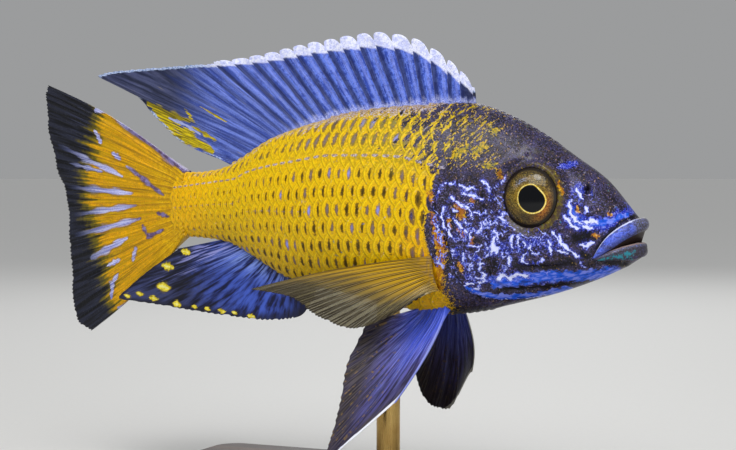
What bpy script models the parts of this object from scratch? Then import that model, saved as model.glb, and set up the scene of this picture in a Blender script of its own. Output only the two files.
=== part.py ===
"""Peacock cichlid, adult male: a still, life-size display model on a plain stand.

The fish faces +X, its left side is towards +Y and +Z is up. The origin is the centre of the stand's
underside. Places on the fish are given as in a drawing of it: how far behind the snout, how high over the
body's axis, and how far to the left of the curved midline, all in millimetres. place() turns them into metres.
"""

import math

import bmesh
import bpy
import numpy as np
from mathutils import Vector

MM = 0.001
GAP = 0.3                     # room between neighbouring pieces
LEFT, RIGHT = 1, -1

# The whole fish
BODY_LENGTH = 100.0           # snout to the tail fin's root
TAIL_BEND_LENGTH = 30.0       # stretch of the tail fin that turns back a little
AXIS_HEIGHT = 56.0            # body's axis over the underside of the stand
BALANCE_STATION = 54.9        # distance behind the snout of the point over the origin
HEAD_TURN = math.radians(7.5)
BODY_TURN = math.radians(19.0)
TAIL_TURN_BACK = math.radians(7.0)

# The photo's camera, aimed at the body's axis over the origin
PHOTO_WIDTH, PHOTO_HEIGHT = 736, 450
PHOTO_FOCUS = PHOTO_WIDTH * 85.0 / 36.0      # in pixels: an 85 mm lens over a picture 36 mm wide
PHOTO_AZIMUTH, PHOTO_ELEVATION = math.radians(24), math.radians(2)
PHOTO_DISTANCE = 338.0
SIGHT_ROUNDS = 10             # how often a point seen in the photo is brought nearer to its place

# Outline of the body without fins
# IN_PHOTO: pixels read off the photo by eye. SET: (behind the snout, height), chosen by hand.
BACK_IN_PHOTO = [(577, 156.6), (546.6, 135), (516, 118), (476, 104), (440, 103), (400, 105.5), (360, 110.5),
                 (320, 119.5), (275, 136.3), (236.5, 161), (217, 169), (198, 171.7)]
BACK_SET = [(0.8, 1.2), (3.2, 4.3), (7.1, 8.9), (100.8, 10.6)]
BELLY_IN_PHOTO = [(400, 307), (360, 296), (320, 287), (255.7, 257), (236.5, 245.4), (180, 236)]
BELLY_SET = [(0.8, -5.0), (2.8, -7.0), (8.0, -9.6), (15.6, -12.2), (26.0, -14.8), (33.0, -16.2), (39.0, -16.8),
             (73.4, -10.6), (92.0, -3.5)]

# The rest of the body's section: (behind the snout, value)
HALF_WIDTH = [(0.8, 2.9), (3.0, 4.3), (8.0, 5.9), (15.0, 7.3), (21.0, 8.1), (30.0, 9.1), (37.0, 9.6),
              (45.0, 9.3), (60.0, 8.2), (75.0, 6.0), (85.0, 4.1), (92.0, 2.9), (100.8, 1.5)]
WIDEST_HEIGHT = [(0.8, -1.8), (10.0, -1.6), (20.0, -1.0), (35.0, 1.0), (60.0, 3.0), (85.0, 4.0), (100.8, 3.8)]
BACK_ROUNDNESS = [(0.8, 2.2), (15.0, 2.0), (35.0, 1.75), (100.8, 1.8)]
BELLY_ROUNDNESS = [(0.8, 2.3), (20.0, 2.2), (45.0, 2.1), (75.0, 1.8), (100.8, 1.8)]

# Where the body is parted
HEAD_START = 0.8
NAPE_CUT_REACH = 38.3         # rearmost point of the cut behind the gill covers
NAPE_CUT_HEIGHT = 4.0
NAPE_CUT_CURVE = 0.021        # how fast the cut runs forward above and below that point
STALK_CUT = 87.6
BODY_END = 100.5
SIDES_AROUND = 28

# Head
EYE_STATION, EYE_HEIGHT = 19.3, 5.9
EYE_RADIUS, EYE_DEPTH = 5.8, 3.3
EYE_SIDE = 4.9                # centre of the ball from the midline
EYE_FACING = Vector((0.20, 0.95, 0.16))
NOSTRIL = (11.2, 5.6)
NOSTRIL_RADIUS = 0.65
MOUTH_CORNER = (9.0, -5.3)
MOUTH_REACH = 8.1             # corner to the middle of the lips, along the head
MOUTH_HALF_WIDTH = 5.2
MOUTH_ROOF_HEIGHT, MOUTH_FLOOR_HEIGHT = -0.6, -3.2    # at the front
UPPER_LIP = (0.75, -4.8, 1.35, 1.45)    # front height, corner height, radius, how late it drops
LOWER_LIP = (-3.35, -5.9, 0.95, 1.4)
LIP_THINNING = 0.4                 # share of the radius lost at the corners
JAW_JOINT = (13.0, -10.9)
GILL_COVER_CENTRE = (31.0, -2.2)
GILL_COVER_RIM = [(0, 4.0), (42, 7.0), (65, 9.0), (90, 9.2), (120, 7.0), (150, 4.7), (180, 3.9), (210, 4.4),
                  (240, 8.2), (254, 10.4), (272, 9.2), (290, 6.6), (315, 4.7), (340, 4.0),
                  (360, 4.0)]      # degrees, radius
GILL_COVER_THICKNESS, GILL_COVER_RISE = 1.3, 0.55

# Fins: each margin is (ray number, behind the snout, height) of that ray's tip
MEMBRANE, RAY_RIDGE, MARGIN_EDGE = 0.27, 0.24, 0.17     # half thicknesses
SPINES_ON_BACK, RAYS_ON_BACK = 16, 10
DORSAL_ROOT = [(0, 32.6), (15, 69.4), (25, 85.6)]
DORSAL_MARGIN = [(0, 33.2, 26.3), (2, 38.3, 30.1), (4, 45.5, 34.0), (6, 53.3, 35.3), (9, 64.3, 34.6),
                 (15, 86.5, 32.5), (18, 103.0, 32.2), (21, 123.1, 30.7), (22, 114.6, 27.6),
                 (23, 107.0, 21.4), (24, 99.4, 16.0), (25, 90.6, 13.5)]
LAPPETS = [(0, 2.6), (4, 2.6), (9, 1.5), (15, 0.9)]     # how far each flap passes its spine
SPINES_BELOW, RAYS_BELOW = 3, 9
ANAL_ROOT = [(0, 66.5), (11, 86.8)]
ANAL_MARGIN = [(0, 67.6, -15.0, 0), (1, 68.6, -16.8, 0), (2, 70.3, -18.4, 0), (4, 78.5, -19.6, 0.3),
               (6, 91.5, -18.8, 1.0), (8, 106.5, -17.4, 2.2), (9, 115.3, -16.4, 3.0),
               (10, 108.9, -11.4, 2.6), (11, 100.0, -5.9, 1.9)]    # the last value leans it to the right
TAIL_RAYS = 17
TAIL_ROOT_HALF_HEIGHT = 6.3
TAIL_MARGIN = [(0, 135.6, 28.5), (1, 137.3, 26.8), (3, 136.8, 20.0), (5, 134.6, 12.0), (8, 131.6, 3.0),
               (11, 130.8, -7.5), (14, 130.1, -18.6), (15, 128.8, -22.2), (16, 125.4, -24.0)]
TAIL_EDGE_BOW = 1.5           # how far the outermost rays curve away from the middle

# Paired fins: margins add how far out from the midline each tip stands
PECTORAL_RAYS = 14
PECTORAL_ROOT_TOP, PECTORAL_ROOT_FOOT = (36.9, -2.7), (37.3, -11.0)
PECTORAL_TIP_IN_PHOTO, PECTORAL_LOW_IN_PHOTO = (256.4, 289), (352, 328.9)    # rays 0 and 8, right fin
PECTORAL_TIP_SIDE, PECTORAL_LOW_SIDE = 11, 12
PECTORAL_SET_RIGHT = [(3, 65.2, -13.4, 12.9), (6, 58.6, -17.2, 12.7), (10, 46.6, -17.3, 11.6),
                      (13, 40.0, -12.9, 9.8)]
PECTORAL_MARGIN_LEFT = [(0, 72.5, -7.0, 13.4), (3, 65.2, -8.6, 13.6), (6, 58.6, -11.8, 13.2),
                        (8, 52.3, -13.9, 12.6), (10, 46.6, -14.0, 11.6), (13, 40.0, -12.3, 9.8)]
PELVIC_RAYS = 6
PELVIC_ROOT_FRONT, PELVIC_ROOT_REAR = (36.3, 6.2), (41.4, 2.6)   # behind the snout, from the midline
PELVIC_MARGIN_RIGHT = [(0, 44.0, -32.6, 12.0), (1, 57.2, -45.0, 14.5), (2, 56.4, -40.6, 13.0),
                       (3, 55.4, -34.6, 11.4), (4, 54.4, -28.6, 9.6), (5, 50.6, -20.6, 6.6)]
PELVIC_MARGIN_LEFT = [(0, 40.0, -30.0, 17.6), (1, 46.6, -38.2, 20.5), (2, 49.4, -37.4, 19.0),
                      (3, 51.4, -33.6, 16.5), (4, 51.6, -27.6, 12.8), (5, 48.6, -20.4, 7.6)]
PELVIC_BOW = (3.4, 0.9, -1.0) # forward, outward and upward, full at the leading edge

# Stand
BASE_LENGTH, BASE_WIDTH, BASE_THICKNESS = 92.0, 52.0, 7.0
BASE_CORNER, BASE_CHAMFER = 6.0, 1.0
ROD_STATION = 50.5
ROD_RADIUS = 2.3
ROD_SUNK = 6.0                # how far the rod goes up into the belly
FOOT_RADIUS, FOOT_HEIGHT = 6.0, 2.2
ROUND_SIDES = 24


def clear_scene():
    for obj in list(bpy.data.objects):
        bpy.data.objects.remove(obj)


# Curves through a few points

def smooth_curve(points):
    """A smooth curve through (where, value) points that never swings past them."""
    xs = np.array([p[0] for p in points], float)
    ys = np.array([p[1] for p in points], float)
    steps = np.diff(xs)
    slopes = np.diff(ys) / steps
    tangents = np.empty(len(xs))
    tangents[0], tangents[-1] = slopes[0], slopes[-1]
    for i in range(1, len(xs) - 1):
        before, after = slopes[i - 1], slopes[i]
        if before * after <= 0:
            tangents[i] = 0.0
            continue
        w1 = 2 * steps[i] + steps[i - 1]
        w2 = steps[i] + 2 * steps[i - 1]
        tangents[i] = (w1 + w2) / (w1 / before + w2 / after)

    def value(x):
        i = int(np.clip(np.searchsorted(xs, x) - 1, 0, len(xs) - 2))
        h = steps[i]
        t = min(1.0, max(0.0, (x - xs[i]) / h))
        return ((1 + 2 * t) * (1 - t) ** 2 * ys[i] + t * (1 - t) ** 2 * h * tangents[i]
                + t * t * (3 - 2 * t) * ys[i + 1] + t * t * (t - 1) * h * tangents[i + 1])

    return value


def margin_curve(points):
    """The tip of any ray, or of a point between two rays, as a tuple of the margin's values."""
    curves = [smooth_curve([(p[0], p[k]) for p in points]) for k in range(1, len(points[0]))]
    return lambda ray: tuple(curve(ray) for curve in curves)


# The curved midline

def midline(station):
    """(x, y, heading) at a distance behind the snout: two arcs, then a straight end."""
    x = y = 0.0
    heading = HEAD_TURN
    left = station
    for length, turn in ((BODY_LENGTH, BODY_TURN), (TAIL_BEND_LENGTH, -TAIL_TURN_BACK), (math.inf, 0.0)):
        run = min(left, length)
        bend = turn / length
        after = heading - bend * run
        if bend:
            x -= (math.sin(heading) - math.sin(after)) / bend
            y -= (math.cos(after) - math.cos(heading)) / bend
        else:
            x -= math.cos(heading) * run
            y -= math.sin(heading) * run
        heading = after
        left -= run
        if left <= 0:
            break
    return x, y, heading


OVER_ORIGIN = midline(BALANCE_STATION)


def place(station, side, height):
    """A point of the fish, in metres. side is positive to the fish's left."""
    x, y, heading = midline(station)
    x -= OVER_ORIGIN[0] + side * math.sin(heading)
    y -= OVER_ORIGIN[1] - side * math.cos(heading)
    return Vector((x, y, height + AXIS_HEIGHT)) * MM


def headings(station):
    """Forward and leftward directions of the fish at a station."""
    heading = midline(station)[2]
    return Vector((math.cos(heading), math.sin(heading), 0)), Vector((-math.sin(heading), math.cos(heading), 0))


# What the photo shows

def in_photo(station, side, height):
    """The pixel at which the photo shows a point of the fish."""
    toward = np.array([math.sin(PHOTO_AZIMUTH) * math.cos(PHOTO_ELEVATION),
                       -math.cos(PHOTO_AZIMUTH) * math.cos(PHOTO_ELEVATION), math.sin(PHOTO_ELEVATION)])
    rightward = np.array([math.cos(PHOTO_AZIMUTH), math.sin(PHOTO_AZIMUTH), 0.0])
    point = np.array(place(station, side, height)) / MM - (0, 0, AXIS_HEIGHT)
    enlarged = PHOTO_FOCUS / (PHOTO_DISTANCE - point @ toward)
    return np.array([PHOTO_WIDTH / 2 + enlarged * (point @ rightward),
                     PHOTO_HEIGHT / 2 - enlarged * (point @ np.cross(toward, rightward))])


def seen_at(pixel, side=0.0):
    """(behind the snout, height), to 0.1 mm, of what a pixel shows at a distance from the midline."""
    found = np.array([BODY_LENGTH / 2, 0.0])
    for _ in range(SIGHT_ROUNDS):
        here = in_photo(found[0], side, found[1])
        behind = in_photo(found[0] + 1, side, found[1]) - here
        above = in_photo(found[0], side, found[1] + 1) - here
        found += np.linalg.solve(np.column_stack([behind, above]), pixel - here)
    return round(float(found[0]), 1), round(float(found[1]), 1)


# The body's section

back_height = smooth_curve(sorted(BACK_SET + [seen_at(p) for p in BACK_IN_PHOTO]))
belly_height = smooth_curve(sorted(BELLY_SET + [seen_at(p) for p in BELLY_IN_PHOTO]))
half_width = smooth_curve(HALF_WIDTH)
widest_height = smooth_curve(WIDEST_HEIGHT)
back_roundness = smooth_curve(BACK_ROUNDNESS)
belly_roundness = smooth_curve(BELLY_ROUNDNESS)
pectoral_margin_right = sorted(PECTORAL_SET_RIGHT + [
    (0, *seen_at(PECTORAL_TIP_IN_PHOTO, RIGHT * PECTORAL_TIP_SIDE), 12.6),
    (8, *seen_at(PECTORAL_LOW_IN_PHOTO, RIGHT * PECTORAL_LOW_SIDE), 12.3)])

def section(station, angle):
    """(side, height) on the body's surface. The angle runs from the left side over the back."""
    c, s = math.cos(angle), math.sin(angle)
    if s >= 0:
        power, reach = 2 / back_roundness(station), back_height(station) - widest_height(station)
    else:
        power, reach = 2 / belly_roundness(station), widest_height(station) - belly_height(station)
    side = half_width(station) * math.copysign(abs(c) ** power, c)
    return side, widest_height(station) + math.copysign(reach * abs(s) ** power, s)


def width_at(station, height):
    """Half the body's width at a height."""
    rise = height - widest_height(station)
    if rise >= 0:
        roundness, reach = back_roundness(station), back_height(station) - widest_height(station)
    else:
        roundness, reach = belly_roundness(station), widest_height(station) - belly_height(station)
    share = min(1.0, abs(rise) / reach)
    return half_width(station) * (1 - share ** roundness) ** (1 / roundness)


def underside_at(station, side):
    """Height of the belly's surface at a distance from the midline."""
    share = min(1.0, abs(side) / half_width(station))
    roundness = belly_roundness(station)
    reach = widest_height(station) - belly_height(station)
    return widest_height(station) - reach * (1 - share ** roundness) ** (1 / roundness)


def flank_point(station, height, out, hand):
    """A point off the body's flank, out along the surface's own normal."""
    def on_skin(a, b):
        return place(a, hand * width_at(a, b), b)

    step = 0.2
    along = on_skin(station + step, height) - on_skin(station - step, height)
    upward = on_skin(station, height + step) - on_skin(station, height - step)
    normal = along.cross(upward).normalized()
    if normal.dot(headings(station)[1]) * hand < 0:
        normal.negate()
    return on_skin(station, height) + normal * out * MM


# Meshes and how they are joined or cut

def mesh_object(name, points, faces):
    mesh = bpy.data.meshes.new(name)
    mesh.from_pydata([tuple(p) for p in points], [], faces)
    work = bmesh.new()
    work.from_mesh(mesh)
    bmesh.ops.remove_doubles(work, verts=work.verts, dist=1e-7)
    bmesh.ops.triangulate(work, faces=[f for f in work.faces if len(f.verts) > 3])
    bmesh.ops.recalc_face_normals(work, faces=work.faces)
    work.to_mesh(mesh)
    work.free()
    obj = bpy.data.objects.new(name, mesh)
    bpy.context.scene.collection.objects.link(obj)
    return obj


def rings_object(name, rings):
    """A closed solid through rings of points. A ring of one point closes an end."""
    points, faces, starts = [], [], []
    for ring in rings:
        starts.append(len(points))
        points += ring
    for a, b, first, second in zip(starts, starts[1:], rings, rings[1:]):
        count = max(len(first), len(second))
        for i in range(count):
            j = (i + 1) % count
            if len(first) == 1:
                faces.append((a, b + j, b + i))
            elif len(second) == 1:
                faces.append((a + i, a + j, b))
            else:
                faces += [(a + i, a + j, b + j), (a + i, b + j, b + i)]
    if len(rings[0]) > 1:
        faces.append(tuple(range(len(rings[0])))[::-1])
    if len(rings[-1]) > 1:
        faces.append(tuple(range(starts[-1], starts[-1] + len(rings[-1]))))
    return mesh_object(name, points, faces)


def apply_boolean(obj, operation, **target):
    modifier = obj.modifiers.new(operation.title(), "BOOLEAN")
    modifier.operation = operation
    modifier.solver = "EXACT"
    for key, value in target.items():
        setattr(modifier, key, value)
    bpy.context.view_layer.update()
    graph = bpy.context.evaluated_depsgraph_get()
    result = bpy.data.meshes.new_from_object(obj.evaluated_get(graph))
    obj.modifiers.clear()
    obj.data = result
    keep_largest(obj)


def combine(obj, operation, others):
    """Joins pieces to obj or cuts them from it, and removes them."""
    group = bpy.data.collections.new(obj.name + "_pieces")
    bpy.context.scene.collection.children.link(group)
    for other in others:
        bpy.context.scene.collection.objects.unlink(other)
        group.objects.link(other)
    if operation == "INTERSECT":
        apply_boolean(obj, operation, object=others[0])
    else:
        apply_boolean(obj, operation, operand_type="COLLECTION", collection=group)
    for other in others:
        bpy.data.objects.remove(other)
    bpy.data.collections.remove(group)


def keep_largest(obj):
    """Drops loose scraps and sealed hollows: the largest closed surface stays."""
    work = bmesh.new()
    work.from_mesh(obj.data)
    unseen = set(work.faces)
    shells = []
    while unseen:
        shell, edge = set(), [unseen.pop()]
        while edge:
            face = edge.pop()
            shell.add(face)
            for near in {f for e in face.edges for f in e.link_faces} & unseen:
                unseen.discard(near)
                edge.append(near)
        shells.append(shell)
    shells.sort(key=lambda shell: sum(f.calc_area() for f in shell))
    scraps = [f for shell in shells[:-1] for f in shell]
    bmesh.ops.delete(work, geom=scraps, context="FACES")
    work.to_mesh(obj.data)
    work.free()


def finish(obj, colour, roughness, metallic=0.0, sharp=35):
    """The piece's own plain material, and smooth shading between its sharp edges."""
    material = bpy.data.materials.new(obj.name)
    material.use_nodes = True
    shader = material.node_tree.nodes["Principled BSDF"]
    shader.inputs["Base Color"].default_value = (*colour, 1)
    shader.inputs["Roughness"].default_value = roughness
    shader.inputs["Metallic"].default_value = metallic
    obj.data.materials.clear()
    obj.data.materials.append(material)
    obj.data.shade_smooth()
    obj.data.set_sharp_from_angle(angle=math.radians(sharp))
    return obj


# Body lengths

def nape_cut(height):
    return NAPE_CUT_REACH - NAPE_CUT_CURVE * (height - NAPE_CUT_HEIGHT) ** 2


def body_ring(station_at, shrink=1.0):
    """A ring on the body's surface where the station depends on the height. shrink draws it inwards."""
    ring = []
    for k in range(SIDES_AROUND):
        angle = 2 * math.pi * k / SIDES_AROUND
        station = station_at(0.0)
        for _ in range(6):
            side, height = section(station, angle)
            station = station_at(height)
        middle = widest_height(station)
        side, height = side * shrink, middle + (height - middle) * shrink
        ring.append(place(station_at(height), side, height))
    return ring


def capped(rings, first_station, last_station):
    """Adds to a body length the inner rings that let its ends follow a curved cut."""
    def cap(station_at):
        middle = widest_height(station_at(0.0))
        return [[place(station_at(middle), 0, middle)], body_ring(station_at, 0.33), body_ring(station_at, 0.67)]

    return cap(first_station) + rings + cap(last_station)[::-1]


def body_length(name, first_station, last_station, shares):
    """A stretch of the body between two cuts. shares say how its rings are spaced."""
    rings = []
    for t in shares:
        rings.append(body_ring(lambda h, t=t: (1 - t) * first_station(h) + t * last_station(h)))
    return rings_object(name, capped(rings, first_station, last_station))


def slab(name, outline, half_depth):
    """A flat outline of (station, height) points, as thick as needed to cross the head."""
    sides = [[place(s, hand * half_depth, h) for s, h in outline] for hand in (RIGHT, LEFT)]
    return rings_object(name, sides)


def lip_point(lip, share):
    """A point of a lip's middle line. share runs from -1 at the right corner to 1 at the left one."""
    front_height, corner_height, _, lateness = lip
    angle = share * math.pi / 2
    station = MOUTH_CORNER[0] - MOUTH_REACH * math.cos(angle)
    drop = (1 - math.cos(angle)) ** lateness
    height = front_height + (corner_height - front_height) * drop
    return place(station, MOUTH_HALF_WIDTH * math.sin(angle), height)


def lip_tube(name, lip, grow=0.0):
    """One lip: a tube round the front of the mouth, thinner towards its corners."""
    steps, sides = 14, 9
    rings = []
    for i in range(steps + 1):
        share = -1 + 2 * i / steps
        along = lip_point(lip, min(1, share + 0.05)) - lip_point(lip, max(-1, share - 0.05))
        along.normalize()
        up = (Vector((0, 0, 1)) - along * along.z).normalized()
        out = along.cross(up)
        size = (lip[2] * (1 - LIP_THINNING * abs(share) ** 3) + grow) * MM
        rings.append([lip_point(lip, share) + (up * math.sin(a) + out * math.cos(a)) * size
                      for a in (2 * math.pi * k / sides for k in range(sides))])
    for corner in (-1, 1):
        ahead = (lip_point(lip, corner) - lip_point(lip, corner * 0.9)).normalized()
        end = [lip_point(lip, corner) + ahead * (0.4 + grow) * MM]
        rings.insert(0 if corner < 0 else len(rings), end)
    return rings_object(name, rings)


def ellipsoid(name, centre, facing, radius, depth, around=20, rows=8):
    """A flattened ball whose short axis points along facing."""
    turn = facing.to_track_quat("Z", "Y").to_matrix()
    rings = []
    for j in range(rows + 1):
        tilt = math.pi * j / rows
        if j in (0, rows):
            rings.append([centre + turn @ Vector((0, 0, depth * math.cos(tilt)))])
            continue
        rings.append([centre + turn @ Vector((radius * math.sin(tilt) * math.cos(a),
                                              radius * math.sin(tilt) * math.sin(a),
                                              depth * math.cos(tilt)))
                      for a in (2 * math.pi * k / around for k in range(around))])
    return rings_object(name, rings)


def eye(name, hand, grow=0.0):
    forward, leftward = headings(EYE_STATION)
    facing = forward * EYE_FACING.x + leftward * EYE_FACING.y * hand + Vector((0, 0, EYE_FACING.z))
    centre = place(EYE_STATION, hand * EYE_SIDE, EYE_HEIGHT)
    return ellipsoid(name, centre, facing.normalized(), (EYE_RADIUS + grow) * MM, (EYE_DEPTH + grow) * MM)


def nostril_cutter(hand):
    station, height = NOSTRIL
    facing = flank_point(station, height, 1, hand) - flank_point(station, height, 0, hand)
    return ellipsoid("nostril", flank_point(station, height, 0, hand), facing.normalized(),
                     NOSTRIL_RADIUS * MM, NOSTRIL_RADIUS * MM, around=8, rows=4)


def gill_cover(name, hand, grow=0.0):
    """A plate that follows the cheek's surface and stands a little proud at its rear rim."""
    radius_at = smooth_curve(GILL_COVER_RIM)
    spokes, circles = 26, 3
    inner_face, outer_face = [], []
    for j in range(circles + 1):
        reach = 1 - j / circles
        inner_ring, outer_ring = [], []
        for k in range(spokes):
            turn = 360 * k / spokes
            r = (radius_at(turn) + grow) * max(reach, 0.02)
            station = GILL_COVER_CENTRE[0] + r * math.cos(math.radians(turn))
            height = GILL_COVER_CENTRE[1] + r * math.sin(math.radians(turn))
            rise = GILL_COVER_RISE * reach * (0.6 + 0.4 * math.cos(math.radians(turn)))
            outer_ring.append(flank_point(station, height, 2.5 if grow else rise, hand))
            inner_ring.append(flank_point(station, height, -GILL_COVER_THICKNESS - grow, hand))
        outer_face.append(outer_ring)
        inner_face.append(inner_ring)
    return rings_object(name, inner_face[::-1] + outer_face)


def below_mouth(front_height, grow=0.0):
    """Outline of the space under a line from the front of the mouth to its corner and the jaw's joint."""
    corner = (MOUTH_CORNER[0] + grow, MOUTH_CORNER[1] + grow)
    joint = (JAW_JOINT[0] + grow, JAW_JOINT[1])
    return [(-3.0, front_height), corner, joint, (joint[0] + 0.5, -20.0), (-3.0, -20.0)]


def make_head():
    def start(height):
        return HEAD_START

    def end(height):
        return nape_cut(height) - GAP / 2

    shares = [0.0, 0.015, 0.045] + [0.09 + 0.91 * i / 16 for i in range(17)]
    head = body_length("head", start, end, shares)
    jaw = body_length("lower_jaw", start, end, shares)

    combine(jaw, "INTERSECT", [slab("jaw_space", below_mouth(MOUTH_FLOOR_HEIGHT), 12)])
    combine(jaw, "UNION", [lip_tube("lower_lip", LOWER_LIP)])
    combine(jaw, "DIFFERENCE", [lip_tube("lip_room", UPPER_LIP, GAP)])
    combine(head, "DIFFERENCE", [slab("mouth", below_mouth(MOUTH_ROOF_HEIGHT, GAP), 12)])
    combine(head, "DIFFERENCE", [lip_tube("lip_room", UPPER_LIP, GAP)])
    combine(head, "DIFFERENCE", [lip_tube("lower_lip_room", LOWER_LIP, GAP)])
    for hand in (LEFT, RIGHT):
        combine(head, "DIFFERENCE", [eye("socket", hand, GAP)])
        combine(head, "DIFFERENCE", [gill_cover("recess", hand, GAP)])
        combine(head, "DIFFERENCE", [nostril_cutter(hand)])
    finish(head, (0.07, 0.06, 0.16), 0.4)
    finish(jaw, (0.06, 0.12, 0.38), 0.4)
    finish(lip_tube("upper_lip", UPPER_LIP), (0.20, 0.20, 0.36), 0.35)
    for hand, side in ((LEFT, "left"), (RIGHT, "right")):
        finish(eye("eye_" + side, hand), (0.16, 0.11, 0.03), 0.1)
        finish(gill_cover("gill_cover_" + side, hand), (0.10, 0.09, 0.20), 0.38)


def make_trunk():
    def start(height):
        return nape_cut(height) + GAP / 2

    def end(height):
        return STALK_CUT - GAP / 2

    trunk = body_length("trunk", start, end, [i / 18 for i in range(19)])
    top = underside_at(ROD_STATION, 0) + ROD_SUNK + GAP
    bore = turned("bore", ROD_STATION, [(0, -30), (ROD_RADIUS + GAP, -30), (ROD_RADIUS + GAP, top), (0, top)])
    combine(trunk, "DIFFERENCE", [bore])
    finish(trunk, (0.52, 0.33, 0.03), 0.38)


def make_tail_stalk():
    shares = [i / 4 for i in range(5)]
    stalk = body_length("tail_stalk", lambda h: STALK_CUT + GAP / 2, lambda h: BODY_END, shares)
    finish(stalk, (0.55, 0.30, 0.03), 0.38)


# Fins

def ray_columns(rays, flaps):
    """(place across the fin in rays, is it a ray's crest) for every column. flaps adds one between rays."""
    foot = 0.17
    columns = []
    for i in range(rays):
        columns += [(i - foot, False), (i, True), (i + foot, False)]
        if i < flaps:
            columns.append((i + 0.5, False))
    return columns


def fin(name, root, tip, rays, rows, root_half=0.45, ridge=RAY_RIDGE, bow=None, flaps=0, flap_length=None):
    """A fin with its rays raised out of both faces of one thin membrane.

    root(ray) and tip(ray) are points in metres. bow(ray) is how far the middle of a ray bends aside.
    """
    columns = ray_columns(rays, flaps)
    shares = [0.0, 0.07] + [0.07 + 0.83 * (j + 1) / (rows - 2) for j in range(rows - 2)] + [1.0]
    centre = np.empty((len(columns), len(shares), 3))
    half = np.empty((len(columns), len(shares)))
    for i, (ray, crest) in enumerate(columns):
        inside = min(max(ray, 0.0), rays - 1.0)
        start, end = root(ray), tip(inside)
        if ray != inside:
            end = end + (start - root(inside)) * 1.5
        reach = 1.0
        if flap_length and ray < flaps:
            behind = ray - math.floor(ray + 1e-6)
            rise = {0: 0.0, 17: 0.75, 50: 1.0, 83: 0.55}[round(behind * 100)]
            reach += rise * flap_length(inside) * MM / (end - start).length
        for j, v in enumerate(shares):
            here = start.lerp(end, v * (reach if v == 1.0 else 1.0))
            if bow:
                here = here + bow(inside) * math.sin(math.pi * v)
            centre[i, j] = here
            thick = MEMBRANE + (root_half - MEMBRANE) * max(0.0, 1 - v / 0.2)
            if crest:
                thick += ridge * (1 - 0.6 * v)
            half[i, j] = MARGIN_EDGE if v == 1.0 else thick
    across = np.gradient(centre, axis=0)
    along = np.gradient(centre, axis=1)
    normal = np.cross(across, along)
    normal /= np.linalg.norm(normal, axis=2, keepdims=True)
    offset = normal * half[:, :, None] * MM
    points = [*(centre + offset).reshape(-1, 3), *(centre - offset).reshape(-1, 3)]
    wide, tall = len(columns), len(shares)
    back = wide * tall

    def at(i, j):
        return i * tall + j

    faces = []
    for i in range(wide - 1):
        for j in range(tall - 1):
            a, b, c, d = at(i, j), at(i + 1, j), at(i + 1, j + 1), at(i, j + 1)
            faces += [(a, b, c), (a, c, d), (back + a, back + c, back + b), (back + a, back + d, back + c)]
    rim = ([at(i, 0) for i in range(wide)] + [at(wide - 1, j) for j in range(1, tall)]
           + [at(i, tall - 1) for i in range(wide - 2, -1, -1)] + [at(0, j) for j in range(tall - 2, 0, -1)])
    for a, b in zip(rim, rim[1:] + rim[:1]):
        faces += [(a, back + a, back + b), (a, back + b, b)]
    return mesh_object(name, points, faces)


def make_dorsal_fin():
    station_of = smooth_curve(DORSAL_ROOT)
    tip_of = margin_curve(DORSAL_MARGIN)

    def root(ray):
        station = station_of(min(max(ray, 0), 25)) + min(ray, 0) * 2 + max(ray - 25, 0) * 1.5
        return place(station, 0, back_height(station) + GAP)

    def tip(ray):
        station, height = tip_of(ray)
        return place(station, 0, height)

    piece = fin("dorsal_fin", root, tip, SPINES_ON_BACK + RAYS_ON_BACK, 4, root_half=0.6,
                flaps=SPINES_ON_BACK, flap_length=smooth_curve(LAPPETS))
    finish(piece, (0.05, 0.08, 0.42), 0.4)


def make_anal_fin():
    station_of = smooth_curve(ANAL_ROOT)
    tip_of = margin_curve(ANAL_MARGIN)
    last = SPINES_BELOW + RAYS_BELOW - 1

    def root(ray):
        station = station_of(min(max(ray, 0), last)) + min(ray, 0) * 2 + max(ray - last, 0) * 1.5
        return place(station, 0, belly_height(station) - GAP)

    def tip(ray):
        station, height, aside = tip_of(ray)
        return place(station, RIGHT * aside, height)

    piece = fin("anal_fin", root, tip, last + 1, 4, root_half=0.6)
    finish(piece, (0.05, 0.06, 0.30), 0.4)


def make_tail_fin():
    tip_of = margin_curve(TAIL_MARGIN)
    middle = (back_height(BODY_END) + belly_height(BODY_END)) / 2

    def root(ray):
        share = 1 - 2 * ray / (TAIL_RAYS - 1)
        return place(BODY_END + GAP, 0, middle + share * TAIL_ROOT_HALF_HEIGHT)

    def tip(ray):
        station, height = tip_of(ray)
        return place(station, 0, height)

    def bow(ray):
        share = 1 - 2 * ray / (TAIL_RAYS - 1)
        return Vector((0, 0, math.copysign(share * share, share))) * TAIL_EDGE_BOW * MM

    piece = fin("caudal_fin", root, tip, TAIL_RAYS, 5, root_half=1.2, bow=bow)
    finish(piece, (0.45, 0.22, 0.04), 0.4)


def make_pectoral_fin(hand, side, margin):
    tip_of = margin_curve(margin)
    root_half = 0.8
    last = PECTORAL_RAYS - 1

    def root(ray):
        share = ray / last
        station, height = (a + (b - a) * share for a, b in zip(PECTORAL_ROOT_TOP, PECTORAL_ROOT_FOOT))
        return flank_point(station, height, GAP + root_half, hand)

    def tip(ray):
        station, height, out = tip_of(ray)
        return place(station, hand * out, height)

    def bow(ray):
        return headings(50)[1] * hand * 0.9 * MM

    piece = fin("pectoral_fin_" + side, root, tip, PECTORAL_RAYS, 5, root_half=root_half, ridge=0.2, bow=bow)
    finish(piece, (0.40, 0.24, 0.05), 0.35)


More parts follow.
